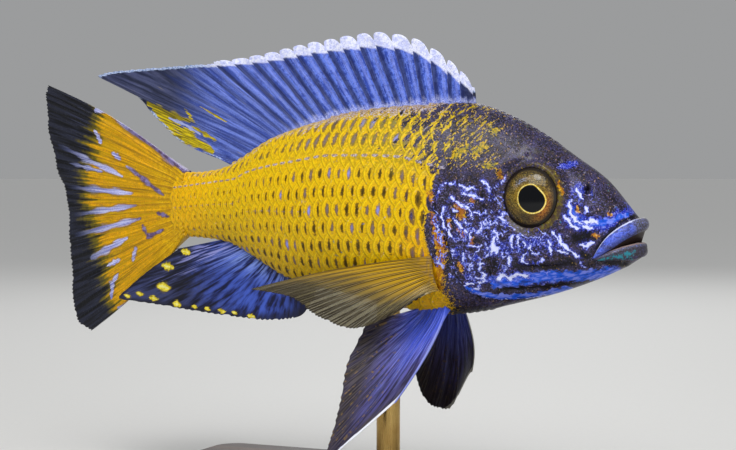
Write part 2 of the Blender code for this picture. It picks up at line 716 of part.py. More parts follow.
def make_pelvic_fin(hand, side, margin):
    tip_of = margin_curve(margin)
    last = PELVIC_RAYS - 1

    def root(ray):
        share = ray / last
        station, out = (a + (b - a) * share for a, b in zip(PELVIC_ROOT_FRONT, PELVIC_ROOT_REAR))
        return place(station, hand * out, underside_at(station, out) - GAP - 0.15)

    def tip(ray):
        station, height, out = tip_of(ray)
        return place(station, hand * out, height)

    def bow(ray):
        forward, leftward = headings(45)
        ahead, out, up = PELVIC_BOW
        bend = forward * ahead + leftward * hand * out + Vector((0, 0, up))
        return bend * (0.15 + 0.85 * (last - ray) / last) * MM

    piece = fin("pelvic_fin_" + side, root, tip, PELVIC_RAYS, 8, root_half=0.6, ridge=0.3, bow=bow)
    finish(piece, (0.06, 0.06, 0.26), 0.4)


# Stand

def turned(name, station, profile):
    """A round piece on an upright axis under the fish, from (radius, height over the body's axis) points."""
    axis = place(station, 0, 0)
    rings = []
    for radius, height in profile:
        centre = Vector((axis.x, axis.y, (height + AXIS_HEIGHT) * MM))
        if radius == 0:
            rings.append([centre])
            continue
        rings.append([centre + Vector((math.cos(a), math.sin(a), 0)) * radius * MM
                      for a in (2 * math.pi * k / ROUND_SIDES for k in range(ROUND_SIDES))])
    return rings_object(name, rings)


def make_stand_rod():
    foot = BASE_THICKNESS + GAP - AXIS_HEIGHT
    top = underside_at(ROD_STATION, 0) + ROD_SUNK
    profile = [(0, foot), (FOOT_RADIUS, foot), (FOOT_RADIUS, foot + FOOT_HEIGHT * 0.5),
               (FOOT_RADIUS - 0.8, foot + FOOT_HEIGHT), (ROD_RADIUS + 0.6, foot + FOOT_HEIGHT),
               (ROD_RADIUS, foot + FOOT_HEIGHT + 0.8), (ROD_RADIUS, top - 0.4), (ROD_RADIUS - 0.4, top), (0, top)]
    finish(turned("stand_rod", ROD_STATION, profile), (0.55, 0.42, 0.20), 0.3, metallic=1.0)


def make_stand_base():
    def outline(inset, height):
        ring = []
        for k in range(ROUND_SIDES):
            a = 2 * math.pi * (k + 0.5) / ROUND_SIDES
            x = math.copysign(BASE_LENGTH / 2 - BASE_CORNER, math.cos(a)) + (BASE_CORNER - inset) * math.cos(a)
            y = math.copysign(BASE_WIDTH / 2 - BASE_CORNER, math.sin(a)) + (BASE_CORNER - inset) * math.sin(a)
            ring.append(Vector((x, y, height)) * MM)
        return ring

    layers = [outline(0, 0), outline(0, BASE_THICKNESS - BASE_CHAMFER), outline(BASE_CHAMFER, BASE_THICKNESS)]
    finish(rings_object("stand_base", layers), (0.05, 0.03, 0.02), 0.45)


def main():
    clear_scene()
    make_head()
    make_trunk()
    make_tail_stalk()
    make_dorsal_fin()
    make_anal_fin()
    make_tail_fin()
    make_pectoral_fin(RIGHT, "right", pectoral_margin_right)
    make_pectoral_fin(LEFT, "left", PECTORAL_MARGIN_LEFT)
    make_pelvic_fin(RIGHT, "right", PELVIC_MARGIN_RIGHT)
    make_pelvic_fin(LEFT, "left", PELVIC_MARGIN_LEFT)
    make_stand_rod()
    make_stand_base()


main()
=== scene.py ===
"""Dresses the peacock cichlid display model: skin, scales, eyes, fins, stand and studio.

Places on the fish are given as in the part's source: how far behind the snout (station), how far to the left
of the curved midline (side) and how high over the body's axis (height), in millimetres. place() turns them
into metres.
"""

import math

import bpy
import numpy as np
from bpy.props import FloatProperty, FloatVectorProperty, PointerProperty
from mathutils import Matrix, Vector


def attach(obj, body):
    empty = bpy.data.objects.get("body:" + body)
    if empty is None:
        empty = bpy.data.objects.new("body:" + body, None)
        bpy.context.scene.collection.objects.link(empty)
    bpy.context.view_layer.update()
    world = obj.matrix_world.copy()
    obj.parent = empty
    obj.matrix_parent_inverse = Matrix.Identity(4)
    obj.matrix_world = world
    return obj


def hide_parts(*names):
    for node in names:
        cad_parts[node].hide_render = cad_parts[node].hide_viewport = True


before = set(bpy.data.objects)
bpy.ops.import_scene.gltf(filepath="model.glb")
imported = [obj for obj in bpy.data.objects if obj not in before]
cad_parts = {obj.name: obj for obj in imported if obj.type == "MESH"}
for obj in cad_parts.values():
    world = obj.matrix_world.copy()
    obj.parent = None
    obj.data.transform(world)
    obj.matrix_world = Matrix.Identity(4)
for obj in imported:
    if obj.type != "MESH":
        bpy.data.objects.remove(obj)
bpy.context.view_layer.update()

bl_info = {
    "name": "Peacock cichlid display model",
    "version": (1, 0, 0),
    "blender": (4, 5, 0),
    "location": "View3D > Sidebar > Cichlid",
    "description": "Builds the skin, scales, eyes, fins, stand and studio of a life-size peacock cichlid",
    "category": "Object",
}

MM = 0.001
LEFT, RIGHT = 1, -1
HANDS = ((LEFT, "left"), (RIGHT, "right"))

# The photo's camera, aimed at the body's axis over the origin
PHOTO_WIDTH, PHOTO_HEIGHT = 736, 450
PHOTO_LENS, SENSOR_WIDTH = 85.0, 36.0
PHOTO_AZIMUTH, PHOTO_ELEVATION = math.radians(24), math.radians(2)
PHOTO_DISTANCE = 338.0
SIGHT_ROUNDS = 16                     # how often a point seen in the photo is brought nearer to its place
# Pieces of the photo that marks were read off: (left, top, enlargement)
CHEEK_VIEW, SNOUT_VIEW, HEAD_VIEW = (425, 180, 11.61), (540, 180, 13.63), (440, 90, 6.533)
TAIL_VIEW, DORSAL_VIEW = (40, 85, 6.27), (95, 30, 7.65)

# The body, as in the part's source
# IN_PHOTO: pixels read off the photo. SET: (behind the snout, height), listed.
BODY_LENGTH = 100.0
TAIL_BEND_LENGTH = 30.0
AXIS_HEIGHT = 56.0
BALANCE_STATION = 54.9
HEAD_TURN = math.radians(7.5)
BODY_TURN = math.radians(19.0)
TAIL_TURN_BACK = math.radians(7.0)
BACK_IN_PHOTO = [(577, 156.6), (546.6, 135), (516, 118), (476, 104), (440, 103), (400, 105.5), (360, 110.5),
                 (320, 119.5), (275, 136.3), (236.5, 161), (217, 169), (198, 171.7)]
BACK_SET = [(0.8, 1.2), (3.2, 4.3), (7.1, 8.9), (100.8, 10.6), (103.6, 11.3)]
BELLY_IN_PHOTO = [(603, 277.5), (400, 307), (360, 296), (320, 287), (255.7, 257), (236.5, 245.4), (180, 236)]
BELLY_SET = [
    (0.8, -5.2), (2.8, -6.6), (5.0, -7.7), (15.6, -11.9), (26.0, -14.8), (33.0, -16.2), (39.0, -16.8),
    (73.4, -10.6), (92.0, -3.5), (103.6, -3.8),
]
HALF_WIDTH = [(0.8, 2.9), (3.0, 4.3), (8.0, 5.9), (15.0, 7.3), (21.0, 8.1), (30.0, 9.1), (37.0, 9.6),
              (45.0, 9.3), (60.0, 8.2), (75.0, 6.0), (85.0, 4.1), (92.0, 2.9), (100.4, 1.5), (103.6, 0.5)]
WIDEST_HEIGHT = [(0.8, -1.8), (10.0, -1.6), (20.0, -1.0), (35.0, 1.0), (60.0, 3.0), (85.0, 4.0), (100.8, 3.8)]
BACK_ROUNDNESS = [(0.8, 2.2), (15.0, 2.0), (35.0, 1.75), (100.8, 1.8)]
BELLY_ROUNDNESS = [(0.8, 2.3), (20.0, 2.2), (45.0, 2.1), (75.0, 1.8), (100.8, 1.8)]

# Mouth: each lip is (front height, corner height, radius, how late it drops)
MOUTH_CORNER = (9.0, -5.3)
MOUTH_REACH, MOUTH_HALF_WIDTH = 8.5, 5.2
UPPER_LIP = (0.8, -4.9, 1.4, 1.35)
LOWER_LIP = (-3.3, -5.8, 0.95, 1.25)
# Share of the way to the corner
LIP_FORM = [
    (0.0, 0.8), (0.35, 1.0), (0.7, 0.95), (0.92, 0.6), (1.0, 0.22),
]
LIP_FLATNESS = 0.8
THROAT = (13.0, 0.0, -4.6)
# Degrees round each lip, from inside the mouth to the outside
UPPER_ROLL = (-150, -125, -100, -75, -50, -28, -8, 12, 32, 54, 76, 96, 118)
LOWER_ROLL = (-150, -125, -100, -75, -50, -28, -8, 12, 28, 42, 54, 65, 75)
VALVE_DROP = 1.0                      # how far the fold of skin behind the upper lip closes the gap

# The skin's grid
COLUMNS_OVER, COLUMNS_UNDER = 196, 124
CORNER_ANGLE = math.radians(23)       # how far the mouth's corner lies under the body's widest line
HEAD_RINGS, BODY_RINGS = 150, 170
HEAD_END, SKIN_END = 38.0, 103.2

# Head
EYE_STATION, EYE_HEIGHT, EYE_SIDE = 20.0, 5.65, 5.0
EYE_RADIUS, EYE_DEPTH = 6.05, 3.3
EYE_NARROW = 0.93                     # width of an eye over its height
EYE_DOME = 0.86                       # share of half a turn that the dome reaches back
EYE_COLUMNS, EYE_ROWS = 144, 76
EYE_FACING = Vector((-0.05, 0.99, 0.06))
SOCKET_RADIUS = 5.6
PUPIL_SHIFT = (0.62, -0.22)           # forward and up
PUPIL = [(-180, 2.35), (-135, 2.4), (-90, 2.6), (-45, 2.75), (-15, 2.7), (45, 2.15), (90, 2.45), (135, 2.45),
         (180, 2.35)]                  # degrees up from the front, radius
NOSTRIL = (9.9, 7.2)
LOBE = (36.3, -6.4)                   # fleshy base of the pectoral fin
GILL_RIM = [
    (32.6, 9.8), (35.4, 8.6), (36.7, 5.8), (36.5, 2.6), (35.6, -0.3), (34.5, -2.8), (33.8, -5.6),
    (33.2, -8.6), (32.3, -10.6), (30.8, -11.8), (28.6, -12.6), (25.5, -13.0), (21.5, -12.9),
    (16.5, -12.0),
]
PREOPERCLE = [(28.4, 7.0), (28.0, 3.5), (27.7, 0.5), (27.4, -3.0), (27.3, -6.5), (27.2, -8.6), (26.2, -10.2),
              (23.5, -11.3), (19.0, -10.9), (13.5, -9.9)]
CHEEK_EDGE = [(25.4, 7.0), (25.6, 2.0), (24.5, -3.0), (21.5, -6.5), (17.0, -6.9), (13.0, -6.4), (10.6, -5.6)]
SNOUT_EDGE = [(15.2, -1.4), (13.2, -2.6), (11.4, -4.0), (10.0, -4.6)]
HEAD_GROOVES = [
    (PREOPERCLE, 0.15, 0.85, 0.9, 0.6, 0.22, 0.34, 0.34),
    (CHEEK_EDGE, 0.2, 0.8, 0.6, 0.6, 0.12, 0.3, 0.16), (SNOUT_EDGE, 0.3, 0.7, -0.8, 0.9, 0.12, 0.5, 0.16),
]
PORES = [(11.8, 3.7, 0.9), (9.2, 3.6, 0.45), (5.6, 3.0, 0.5), (8.2, -0.6, 0.6), (26.3, -6.3, 0.9),
         (13.0, -4.6, 0.7), (16.6, -5.4, 0.6), (20.6, -5.4, 0.6), (24.4, -7.4, 0.7), (9.6, -6.7, 0.5),
         (6.4, -6.9, 0.5), (3.6, -6.2, 0.45), (21.0, 13.6, 0.4), (15.2, 12.2, 0.4), (11.0, 10.2, 0.4)]

# Scales
LATERAL_IN_PHOTO = [(424, 163), (399, 157), (370, 155.5), (332, 155.5), (294, 161), (265, 167), (233, 179),
                    (213.6, 182)]
LATERAL_SET = [(10.0, 8.0), (33.0, 10.6), (80.4, 10.2), (100.8, 7.0)]
LOWER_LATERAL_IN_PHOTO = [(260, 209), (223.5, 204.6)]
LOWER_LATERAL_SET = [(66.0, 2.3), (100.8, 3.6)]
COLUMN_PITCH = [(10.0, 2.0), (30.0, 2.0), (40.0, 2.3), (58.0, 2.15), (78.0, 1.82), (100.8, 1.7)]
ROW_PITCH = [(10.0, 2.9), (30.0, 2.9), (42.0, 3.5), (62.0, 3.5), (78.0, 2.8), (87.0, 2.4), (100.8, 2.1)]
ROWS_OVER, ROWS_UNDER = 6, 13         # rows of scales over and under the lateral line
SCALE_CURVE = 1.09                    # how far a scale's rear edge curves forward, in columns per row squared
SCALE_HALF_HEIGHT = 0.80              # in rows
SCALE_ROOT = -1.6                     # in columns
SCALES_START = 8.2
# Nape, breast and face: how far apart the small scales stand along and across the body
SMALL_SCALES_START = 10
NAPE_PITCH, BREAST_PITCH, FACE_PITCH = (1.3, 1.25), (1.45, 1.35), (1.1, 1.25)
FACE_SLANT = 0.12
# The table of places on a flank
FLANK_START, FLANK_STEP, COLUMN_STEP = 8.0, 0.4, 0.1
FLANK_REACH, REACH_STEP = (-34.0, 60.0), 0.2
# Height, station where the large scales begin
COAT_FRONT = [
    (-17.0, 34.5), (-12.5, 36.5), (-10.0, 38.3), (-2.0, 38.6), (3.0, 38.2), (6.5, 37.6), (9.5, 35.5),
    (12.0, 33.5), (16.0, 33.5), (24.0, 35.0),
]

# Strokes on the head: (half width, path)
# SEEN paths are points of an enlarged view, the others (station, height).
PALE_SEEN = [
    (CHEEK_VIEW, [
        (0.22, [(150, 75), (155, 150), (130, 240)]),
        (0.24, [(215, 330), (200, 400), (210, 480), (235, 545), (270, 590)]),
        (0.35, [(300, 200), (360, 250), (500, 330)]), (0.35, [(400, 60), (470, 95), (590, 100)]),
        (0.30, [(430, 150), (530, 170), (660, 230)]),
        (0.22, [(560, 460), (530, 430), (545, 380), (600, 368), (660, 410)]),
        (0.20, [(620, 490), (660, 500), (660, 560), (620, 620)]),
        (0.30, [(340, 440), (380, 500), (490, 620)]), (0.20, [(290, 600), (315, 670)]),
        (0.18, [(90, 490), (150, 560)]), (0.35, [(650, 5), (725, 50), (745, 130)]),
        (0.20, [(750, 250), (790, 210)]), (0.22, [(680, 360), (725, 395)]),
        (0.30, [(855, 380), (865, 440), (905, 490)]), (0.30, [(750, 470), (775, 500)]),
        (0.18, [(720, 660), (720, 760), (740, 880)]), (0.18, [(830, 600), (850, 700), (880, 750)]),
        (0.20, [(860, 590), (890, 630)]), (0.28, [(1020, 630), (990, 700), (1010, 740), (1020, 800)]),
        (0.20, [(1090, 640), (1080, 770)]), (0.28, [(1140, 720), (1170, 780)]),
        (0.24, [(1250, 715), (1215, 800), (1240, 850), (1340, 850)]),
        (0.32, [(1140, 860), (1120, 940), (1185, 960)]),
        (0.28, [(940, 820), (980, 900), (970, 990), (920, 1060)]),
        (0.30, [(1430, 720), (1460, 770), (1450, 860)]),
        (0.22, [(520, 1040), (515, 990), (545, 985), (550, 1035)]),
        (0.22, [(600, 1130), (650, 1150), (690, 1080)]), (0.22, [(440, 840), (450, 930)]),
        (0.22, [(620, 960), (680, 980)]),
        (0.50, [(830, 1150), (900, 1110), (980, 1140), (1100, 1090), (1190, 1120)]),
        (0.20, [(650, 1180), (630, 1240), (560, 1280)]),
    ]),
    (SNOUT_VIEW, [
        (0.25, [(150, 690), (200, 730), (230, 800)]),
        (0.42, [(265, 770), (290, 870), (350, 930), (520, 1030)]),
        (0.25, [(215, 960), (300, 965), (380, 1010)]),
        (0.35, [(430, 270), (405, 350), (420, 450), (490, 560), (560, 600)]),
        (0.50, [(330, 490), (410, 590), (510, 670)]), (0.55, [(600, 570), (690, 560), (780, 580)]),
        (0.50, [(590, 640), (700, 650)]), (0.50, [(560, 885), (630, 890), (720, 855)]),
        (0.30, [(620, 370), (645, 410), (610, 450)]), (0.20, [(550, 1110), (600, 1180)]),
    ]),
    (HEAD_VIEW, [
        (0.16, [(90, 1120), (100, 1190), (125, 1250), (170, 1300), (230, 1332), (300, 1352), (400, 1364),
                (500, 1367), (600, 1358), (700, 1340)]),
        (0.2, [(190, 1000), (200, 950), (210, 900)]), (0.2, [(180, 1010), (240, 1030), (270, 1010)]),
        (0.2, [(20, 620), (60, 605), (110, 610)]),
        (0.24, [(270, 1130), (250, 1170), (290, 1200), (280, 1250)]),
        (0.2, [(240, 1250), (275, 1265), (300, 1240)]), (0.2, [(150, 1270), (190, 1262), (225, 1270)]),
        (0.3, [(370, 830), (400, 850), (410, 870)]), (0.2, [(60, 880), (60, 930), (85, 965)]),
    ]),
]
PALE_SET = [
    (0.55, [(26.2, -1.6), (26.2, -3.0), (26.7, -4.6)]), (0.60, [(25.9, -3.3), (25.5, -4.2)]),
    (0.30, [(11.9, 7.4), (11.4, 6.4), (10.6, 5.4)]), (0.24, [(31.6, 1.6), (30.8, 0.6)]),
    (0.24, [(33.6, 3.4), (32.8, 3.0)]), (0.20, [(26.4, 7.6), (25.6, 8.4), (24.8, 9.6)]),
]
AZURE_SEEN = [(SNOUT_VIEW, [(0.45, [(970, 560), (1050, 520), (1180, 470)])])]
AZURE_SET = [
    (1.1, [(26.5, -9.9), (22.0, -9.3), (17.0, -8.6), (12.0, -8.6), (7.5, -8.2), (5.6, -7.8)]),
    (0.55, [(32.0, -10.9), (30.0, -12.0), (27.0, -12.5), (24.0, -12.6), (19.4, -12.3), (14.0, -11.1)]),
    (0.7, [(12.6, 3.4), (11.6, 1.6), (10.0, 0.8), (8.0, 1.2), (6.0, 1.4)]),
]
GILT_SEEN = [(SNOUT_VIEW, [(0.3, [(260, 30), (300, 120), (320, 190)])])]
GILT_SET = [
    (1.0, [(32.6, 4.2), (32.0, 2.4)]), (0.45, [(34.3, 1.6), (34.2, 0.2)]),
    (0.5, [(32.4, -0.2), (31.6, -1.2)]), (0.45, [(30.3, -1.8), (30.0, -3.2)]),
    (0.5, [(32.6, -6.6), (32.3, -7.8)]), (0.4, [(30.2, 5.6), (30.0, 5.0)]),
    (0.9, [(27.8, 18.3), (27.2, 18.0)]), (0.9, [(28.8, 15.0), (30.6, 14.0)]),
    (0.8, [(31.8, 15.0), (33.8, 13.4)]), (0.5, [(25.8, 10.6), (25.2, 9.4)]),
    (0.7, [(28.2, 11.4), (26.6, 11.8)]), (0.7, [(38.3, 6.6), (37.8, 5.2)]),
    (0.5, [(37.6, 2.6), (37.0, -1.0), (36.4, -3.6)]),
    (0.9, [(36.0, -1.4), (35.7, -4.5), (36.2, -7.5), (36.9, -11.0)]), (0.3, [(6.3, 2.9), (5.6, 2.7)]),
    (0.4, [(11.6, 4.1), (11.3, 3.2)]), (0.4, [(8.6, -0.8), (8.0, -1.2)]),
]
BLUE_HAZE = [
    (1.7, 1.0, [(11.5, 7.0), (12.3, 3.0), (10.0, 0.5), (6.0, 1.0)]),
    (2.2, 0.8, [(26.0, -3.0), (22.0, -3.0), (16.0, -3.0)]),
    (2.6, 0.55, [(35.0, 5.0), (33.0, 0.0), (31.0, -4.0)]),
    (1.7, 1.15, [(10.0, 1.5), (7.0, 0.9), (4.4, 2.6), (2.8, 3.4)]),
    (1.2, 0.8, [(33.0, -4.0), (31.0, -10.0)]), (0.9, 1.15, [(14.7, 11.6), (13.8, 11.5), (13.0, 11.7)]),
    (1.6, 0.5, [(9.5, 6.4), (7.6, 4.4)]),
    (1.1, 0.9, [(28.0, -9.5), (20.0, -9.6), (10.0, -9.0), (5.0, -7.2)]),
]
# Dark patches on the head: (half width, strength, path). The strips along the preopercle groove, along the
# groove over the upper lip and just behind the gill cover's rim are painted shade.
DARK_PATCHES = [
    (1.1, 0.8, [(26.3, -6.5), (26.1, -6.9)]), (1.4, 0.9, [(11.5, -1.6), (9.5, -1.2)]),
    (0.8, 1.0, [(10.5, -4.6), (10.0, -4.9)]), (0.5, 0.9, [(25.8, -11.2), (17.7, -10.7), (9.7, -9.4)]),
    (0.35, 0.8, PREOPERCLE[:6]), (0.45, 0.9, [(37.4, 5.0), (36.5, 0.2), (34.8, -3.4)]),
    (0.5, 0.8, [(9.9, 8.0), (10.2, 6.6)]),
    (0.32, 0.95, [(1.4, 2.4), (3.2, 1.9), (5.2, 0.3), (6.9, -1.6), (8.3, -3.6)]),
    (1.3, 0.7, [(22.0, -7.0), (15.0, -6.6), (12.5, -6.0)]), (0.9, 0.8, [(6.2, -6.0), (3.2, -6.4)]),
]
# Height, station
GOLD_FRONT = [
    (-17.0, 36.0), (-14.3, 33.0), (-11.4, 34.0), (-8.5, 35.4), (-4.0, 38.0), (0.0, 38.6), (3.0, 38.0),
    (6.5, 37.6), (10.0, 36.5), (13.0, 35.0), (16.0, 34.5), (19.0, 36.5), (22.0, 41.0), (24.5, 47.0),
]

# Fins: each margin is (ray number, behind the snout, height, ...) of that ray's tip
SPINES_ON_BACK, RAYS_ON_BACK = 16, 10
DORSAL_ROOT = [(0, 32.6), (15, 69.4), (25, 85.6)]
DORSAL_MARGIN = [(0, 33.2, 26.3), (2, 38.3, 30.1), (4, 45.5, 34.0), (6, 53.3, 35.3), (9, 64.3, 34.6),
                 (15, 86.5, 32.5), (18, 103.0, 32.2), (21, 123.1, 30.7), (22, 114.6, 27.6),
                 (23, 107.0, 21.4), (24, 99.4, 16.0), (25, 90.6, 13.5)]
LAPPETS = [(0, 1.3), (1, 1.7), (4, 2.3), (9, 1.8), (15, 0.9)]
LAPPET_FORM = [(0.0, 0.0), (0.07, 0.5), (0.22, 0.88), (0.45, 1.0), (0.72, 0.95), (0.9, 0.72),
               (0.96, 0.45), (1.0, 0.0)]
LAPPET_LEAN = 0.12
DORSAL_GOLD_SEEN = [(DORSAL_VIEW, [(1.0, [(400, 560), (560, 640), (722, 698)]),
                                   (1.3, [(500, 680), (640, 760), (760, 840), (900, 930)]),
                                   (0.35, [(680, 590), (760, 700)]), (0.3, [(800, 580), (1000, 700)])])]
DORSAL_GOLD_SET = [(1.1, [(108.0, 23.2), (101.0, 20.2)]), (1.1, [(104.5, 19.2), (96.0, 15.6)]),
                   (0.5, [(97.5, 19.6), (91.0, 16.6)])]
DORSAL_PALE_SEEN = [(DORSAL_VIEW, [(0.4, [(560, 670), (700, 730), (804, 797)])])]
DORSAL_PALE_SET = [(0.5, [(98.6, 15.2), (95.0, 13.8)])]
SPINES_BELOW, RAYS_BELOW = 3, 9
ANAL_ROOT = [(0, 66.5), (11, 86.8)]
ANAL_MARGIN = [(0, 67.6, -15.0, 0), (1, 68.6, -16.8, 0), (2, 70.3, -18.4, 0), (4, 78.5, -19.6, 0.3),
               (6, 91.5, -18.8, 1.0), (8, 106.5, -17.4, 2.2), (9, 115.3, -16.4, 3.0),
               (10, 108.9, -11.4, 2.6), (11, 100.0, -5.9, 1.9)]    # the last value leans it to the right
# Pixel and size of each spot
EGGS_IN_PHOTO = [(185.7, 252, 1.2), (168.9, 266, 1.5), (165.8, 286.6, 1.7), (143.6, 293.5, 0.9)]
EGGS_SET = [(112.8, -15.9, 0.8), (106.2, -16.2, 1.1), (100.2, -17.2, 1.2), (95.5, -17.6, 0.8),
            (92.4, -17.9, 0.7), (89.0, -18.2, 0.9), (86.0, -18.4, 0.7), (81.7, -18.9, 1.0)]
ANAL_SIDE = 1.5                       # how far the fin's rear stands to the right of the midline
TAIL_RAYS = 17
TAIL_ROOT_STATION, STALK_END = 98.8, 100.5
TAIL_ROOT_HALF_HEIGHT = 6.3
TAIL_ROOT_OVER = 0.3                  # how far the drawn root stands over that of the part's source
TAIL_MARGIN = [(0, 136.6, 28.9), (1, 137.3, 26.8), (3, 136.8, 20.0), (5, 134.6, 12.0), (8, 131.6, 3.0),
               (11, 130.8, -7.5), (14, 130.1, -18.6), (15, 128.8, -22.2), (16, 125.4, -24.0)]
TAIL_EDGE_BOW = 1.5
# Height, station where the orange ends
TAIL_GOLD_LIMIT = [
    (-24, 113), (-16, 119.6), (-11, 121.1), (-5.5, 123.4), (0, 125.7), (5, 126.4), (12, 125.7), (20, 124),
    (23, 122), (28, 114),
]
TAIL_LILAC_SEEN = [
    (TAIL_VIEW, [
        (0.75, [(120, 380), (300, 470), (530, 580)]), (0.5, [(190, 490), (400, 550)]),
        (0.8, [(173, 640), (590, 680)]), (0.8, [(224, 812), (610, 755)]), (0.8, [(230, 940), (640, 835)]),
        (0.8, [(330, 1080), (560, 950)]), (0.6, [(430, 1120), (510, 1080)]),
        (0.7, [(355, 310), (400, 385)]), (0.6, [(470, 440), (520, 480)]), (0.6, [(560, 520), (780, 690)]),
        (0.5, [(740, 800), (810, 820)]), (0.5, [(650, 870), (690, 940), (780, 900)]),
        (0.6, [(610, 1000), (595, 1080)]), (0.6, [(500, 1160), (460, 1230), (455, 1310)]),
        (0.5, [(590, 1280), (600, 1300)]),
        (0.9, [(359, 199), (449, 213), (600, 325), (760, 433), (860, 501), (924, 540)]),
        (0.4, [(500, 1359), (590, 1299), (660, 1229), (720, 1155)]),
    ]),
]

# Paired fins: margins add how far out from the midline each tip stands
PECTORAL_RAYS = 14
PECTORAL_ROOT_TOP, PECTORAL_ROOT_FOOT = (37.7, -5.3), (37.6, -11.6)
PECTORAL_ARCH = 0.8
PECTORAL_TIP_IN_PHOTO, PECTORAL_LOW_IN_PHOTO = (256.4, 289), (352, 328.9)    # rays 0 and 8, right fin
PECTORAL_TIP_SIDE, PECTORAL_LOW_SIDE = 11, 12
PECTORAL_TIP_OUT, PECTORAL_LOW_OUT = 12.6, 12.3
PECTORAL_MARGIN = {
    RIGHT: [(3, 65.2, -13.4, 12.9), (6, 58.6, -17.2, 12.7), (10, 46.6, -17.3, 11.6), (13, 40.0, -12.9, 9.8)],
    LEFT: [(0, 72.5, -7.0, 13.4), (3, 65.2, -8.6, 13.6), (6, 58.6, -11.8, 13.2), (8, 52.3, -13.9, 12.6),
           (10, 46.6, -14.0, 11.6), (13, 40.0, -12.3, 9.8)],
}
PELVIC_RAYS = 6
PELVIC_ROOT_FRONT, PELVIC_ROOT_REAR = (36.6, 3.6), (42.4, 1.8)
PELVIC_MARGIN = {
    RIGHT: [(0, 44.0, -32.6, 12.0), (1, 57.2, -45.0, 14.5), (2, 56.4, -40.6, 13.0), (3, 55.4, -34.6, 11.4),
            (4, 55.0, -27.4, 9.4), (5, 52.2, -18.6, 6.4)],
    LEFT: [(0, 40.0, -30.0, 17.6), (1, 46.6, -38.2, 20.5), (2, 49.4, -37.4, 19.0), (3, 51.4, -33.6, 16.5),
           (4, 51.6, -27.6, 12.8), (5, 48.6, -20.4, 7.6)],
}
FIN_OVERHANG = 0.17                   # how far a fin runs on past its outermost rays, in rays
FIN_FRAY = 0.35                       # how deep the margin is nicked between soft rays
PELVIC_BOW = (1.0, 0.8, -0.6)         # forward, outward and up

# The floor, in metres
FLOOR_RINGS = (0.2, 0.5, 1.2, 3.0, 8.0)
FLOOR_DROP = 0.0002                   # how far it lies under the stand
FLOOR_SIDES = 96


# Curves and paths

class Curve:
    """A smooth curve through (where, value) points that never swings past them."""

    def __init__(self, points):
        self.xs = np.array([p[0] for p in points], float)
        self.ys = np.array([p[1] for p in points], float)
        self.steps = np.diff(self.xs)
        slopes = np.diff(self.ys) / self.steps
        self.tangents = np.empty(len(points))
        self.tangents[0], self.tangents[-1] = slopes[0], slopes[-1]
        for i in range(1, len(points) - 1):
            before, after = slopes[i - 1], slopes[i]
            w1 = 2 * self.steps[i] + self.steps[i - 1]
            w2 = self.steps[i] + 2 * self.steps[i - 1]
            self.tangents[i] = 0.0 if before * after <= 0 else (w1 + w2) / (w1 / before + w2 / after)

    def __call__(self, x):
        i = np.clip(np.searchsorted(self.xs, x) - 1, 0, len(self.xs) - 2)
        h = self.steps[i]
        t = np.clip((x - self.xs[i]) / h, 0, 1)
        return ((1 + 2 * t) * (1 - t) ** 2 * self.ys[i] + t * (1 - t) ** 2 * h * self.tangents[i]
                + t * t * (3 - 2 * t) * self.ys[i + 1] + t * t * (t - 1) * h * self.tangents[i + 1])


def tip_places(points, hand=0):
    """Where rays end, from rows of (ray, station, height) and, where they stand aside, the distance aside."""
    curves = [Curve([(p[0], p[k]) for p in points]) for k in range(1, len(points[0]))]

    def tip(ray):
        station, height, *aside = [curve(ray) for curve in curves]
        return station, hand * aside[0] if aside else 0 * station, height

    return tip


def ease(x, start, end):
    """0 before start, 1 after end and smooth between."""
    t = np.clip((x - start) / (end - start), 0, 1)
    return t * t * (3 - 2 * t)


def bell(x, width):
    return np.exp(-(x / width) ** 2)


def from_path(x, y, path):
    """Distance of points from a path, positive on its left, and the share of the way along it."""
    best = np.full(np.shape(x), np.inf)
    signed = np.zeros_like(best)
    along = np.zeros_like(best)
    for i, ((ax, ay), (bx, by)) in enumerate(zip(path, path[1:])):
        dx, dy = bx - ax, by - ay
        t = np.clip(((x - ax) * dx + (y - ay) * dy) / (dx * dx + dy * dy), 0, 1)
        rx, ry = x - ax - t * dx, y - ay - t * dy
        gap = np.hypot(rx, ry)
        nearer = gap < best
        best = np.where(nearer, gap, best)
        signed = np.where(nearer, np.copysign(gap, dx * ry - dy * rx), signed)
        along = np.where(nearer, (i + t) / (len(path) - 1), along)
    return signed, along


# The curved midline

def midline(station):
    """(x, y, heading) at distances behind the snout: two arcs, then a straight end."""
    left = np.array(station, float)
    x, y = np.zeros_like(left), np.zeros_like(left)
    heading = np.full_like(left, HEAD_TURN)
    for length, turn in ((BODY_LENGTH, BODY_TURN), (TAIL_BEND_LENGTH, -TAIL_TURN_BACK)):
        bend = turn / length
        run = np.minimum(left, length)
        after = heading - bend * run
        x = x - (np.sin(heading) - np.sin(after)) / bend
        y = y - (np.cos(after) - np.cos(heading)) / bend
        heading = after
        left = left - run
    return x - np.cos(heading) * left, y - np.sin(heading) * left, heading


OVER_ORIGIN = midline(BALANCE_STATION)


def place(station, side, height):
    """Points of the fish, in metres. side is positive to the fish's left."""
    x, y, heading = midline(station)
    x = x - OVER_ORIGIN[0] - side * np.sin(heading)
    y = y - OVER_ORIGIN[1] + side * np.cos(heading)
    return np.stack(np.broadcast_arrays(x, y, height + AXIS_HEIGHT), axis=-1) * MM


def headings(station):
    """Forward and leftward directions of the fish at a station."""
    heading = float(midline(station)[2])
    forward = np.array([math.cos(heading), math.sin(heading), 0])
    return forward, np.array([-math.sin(heading), math.cos(heading), 0])


# What the photo shows

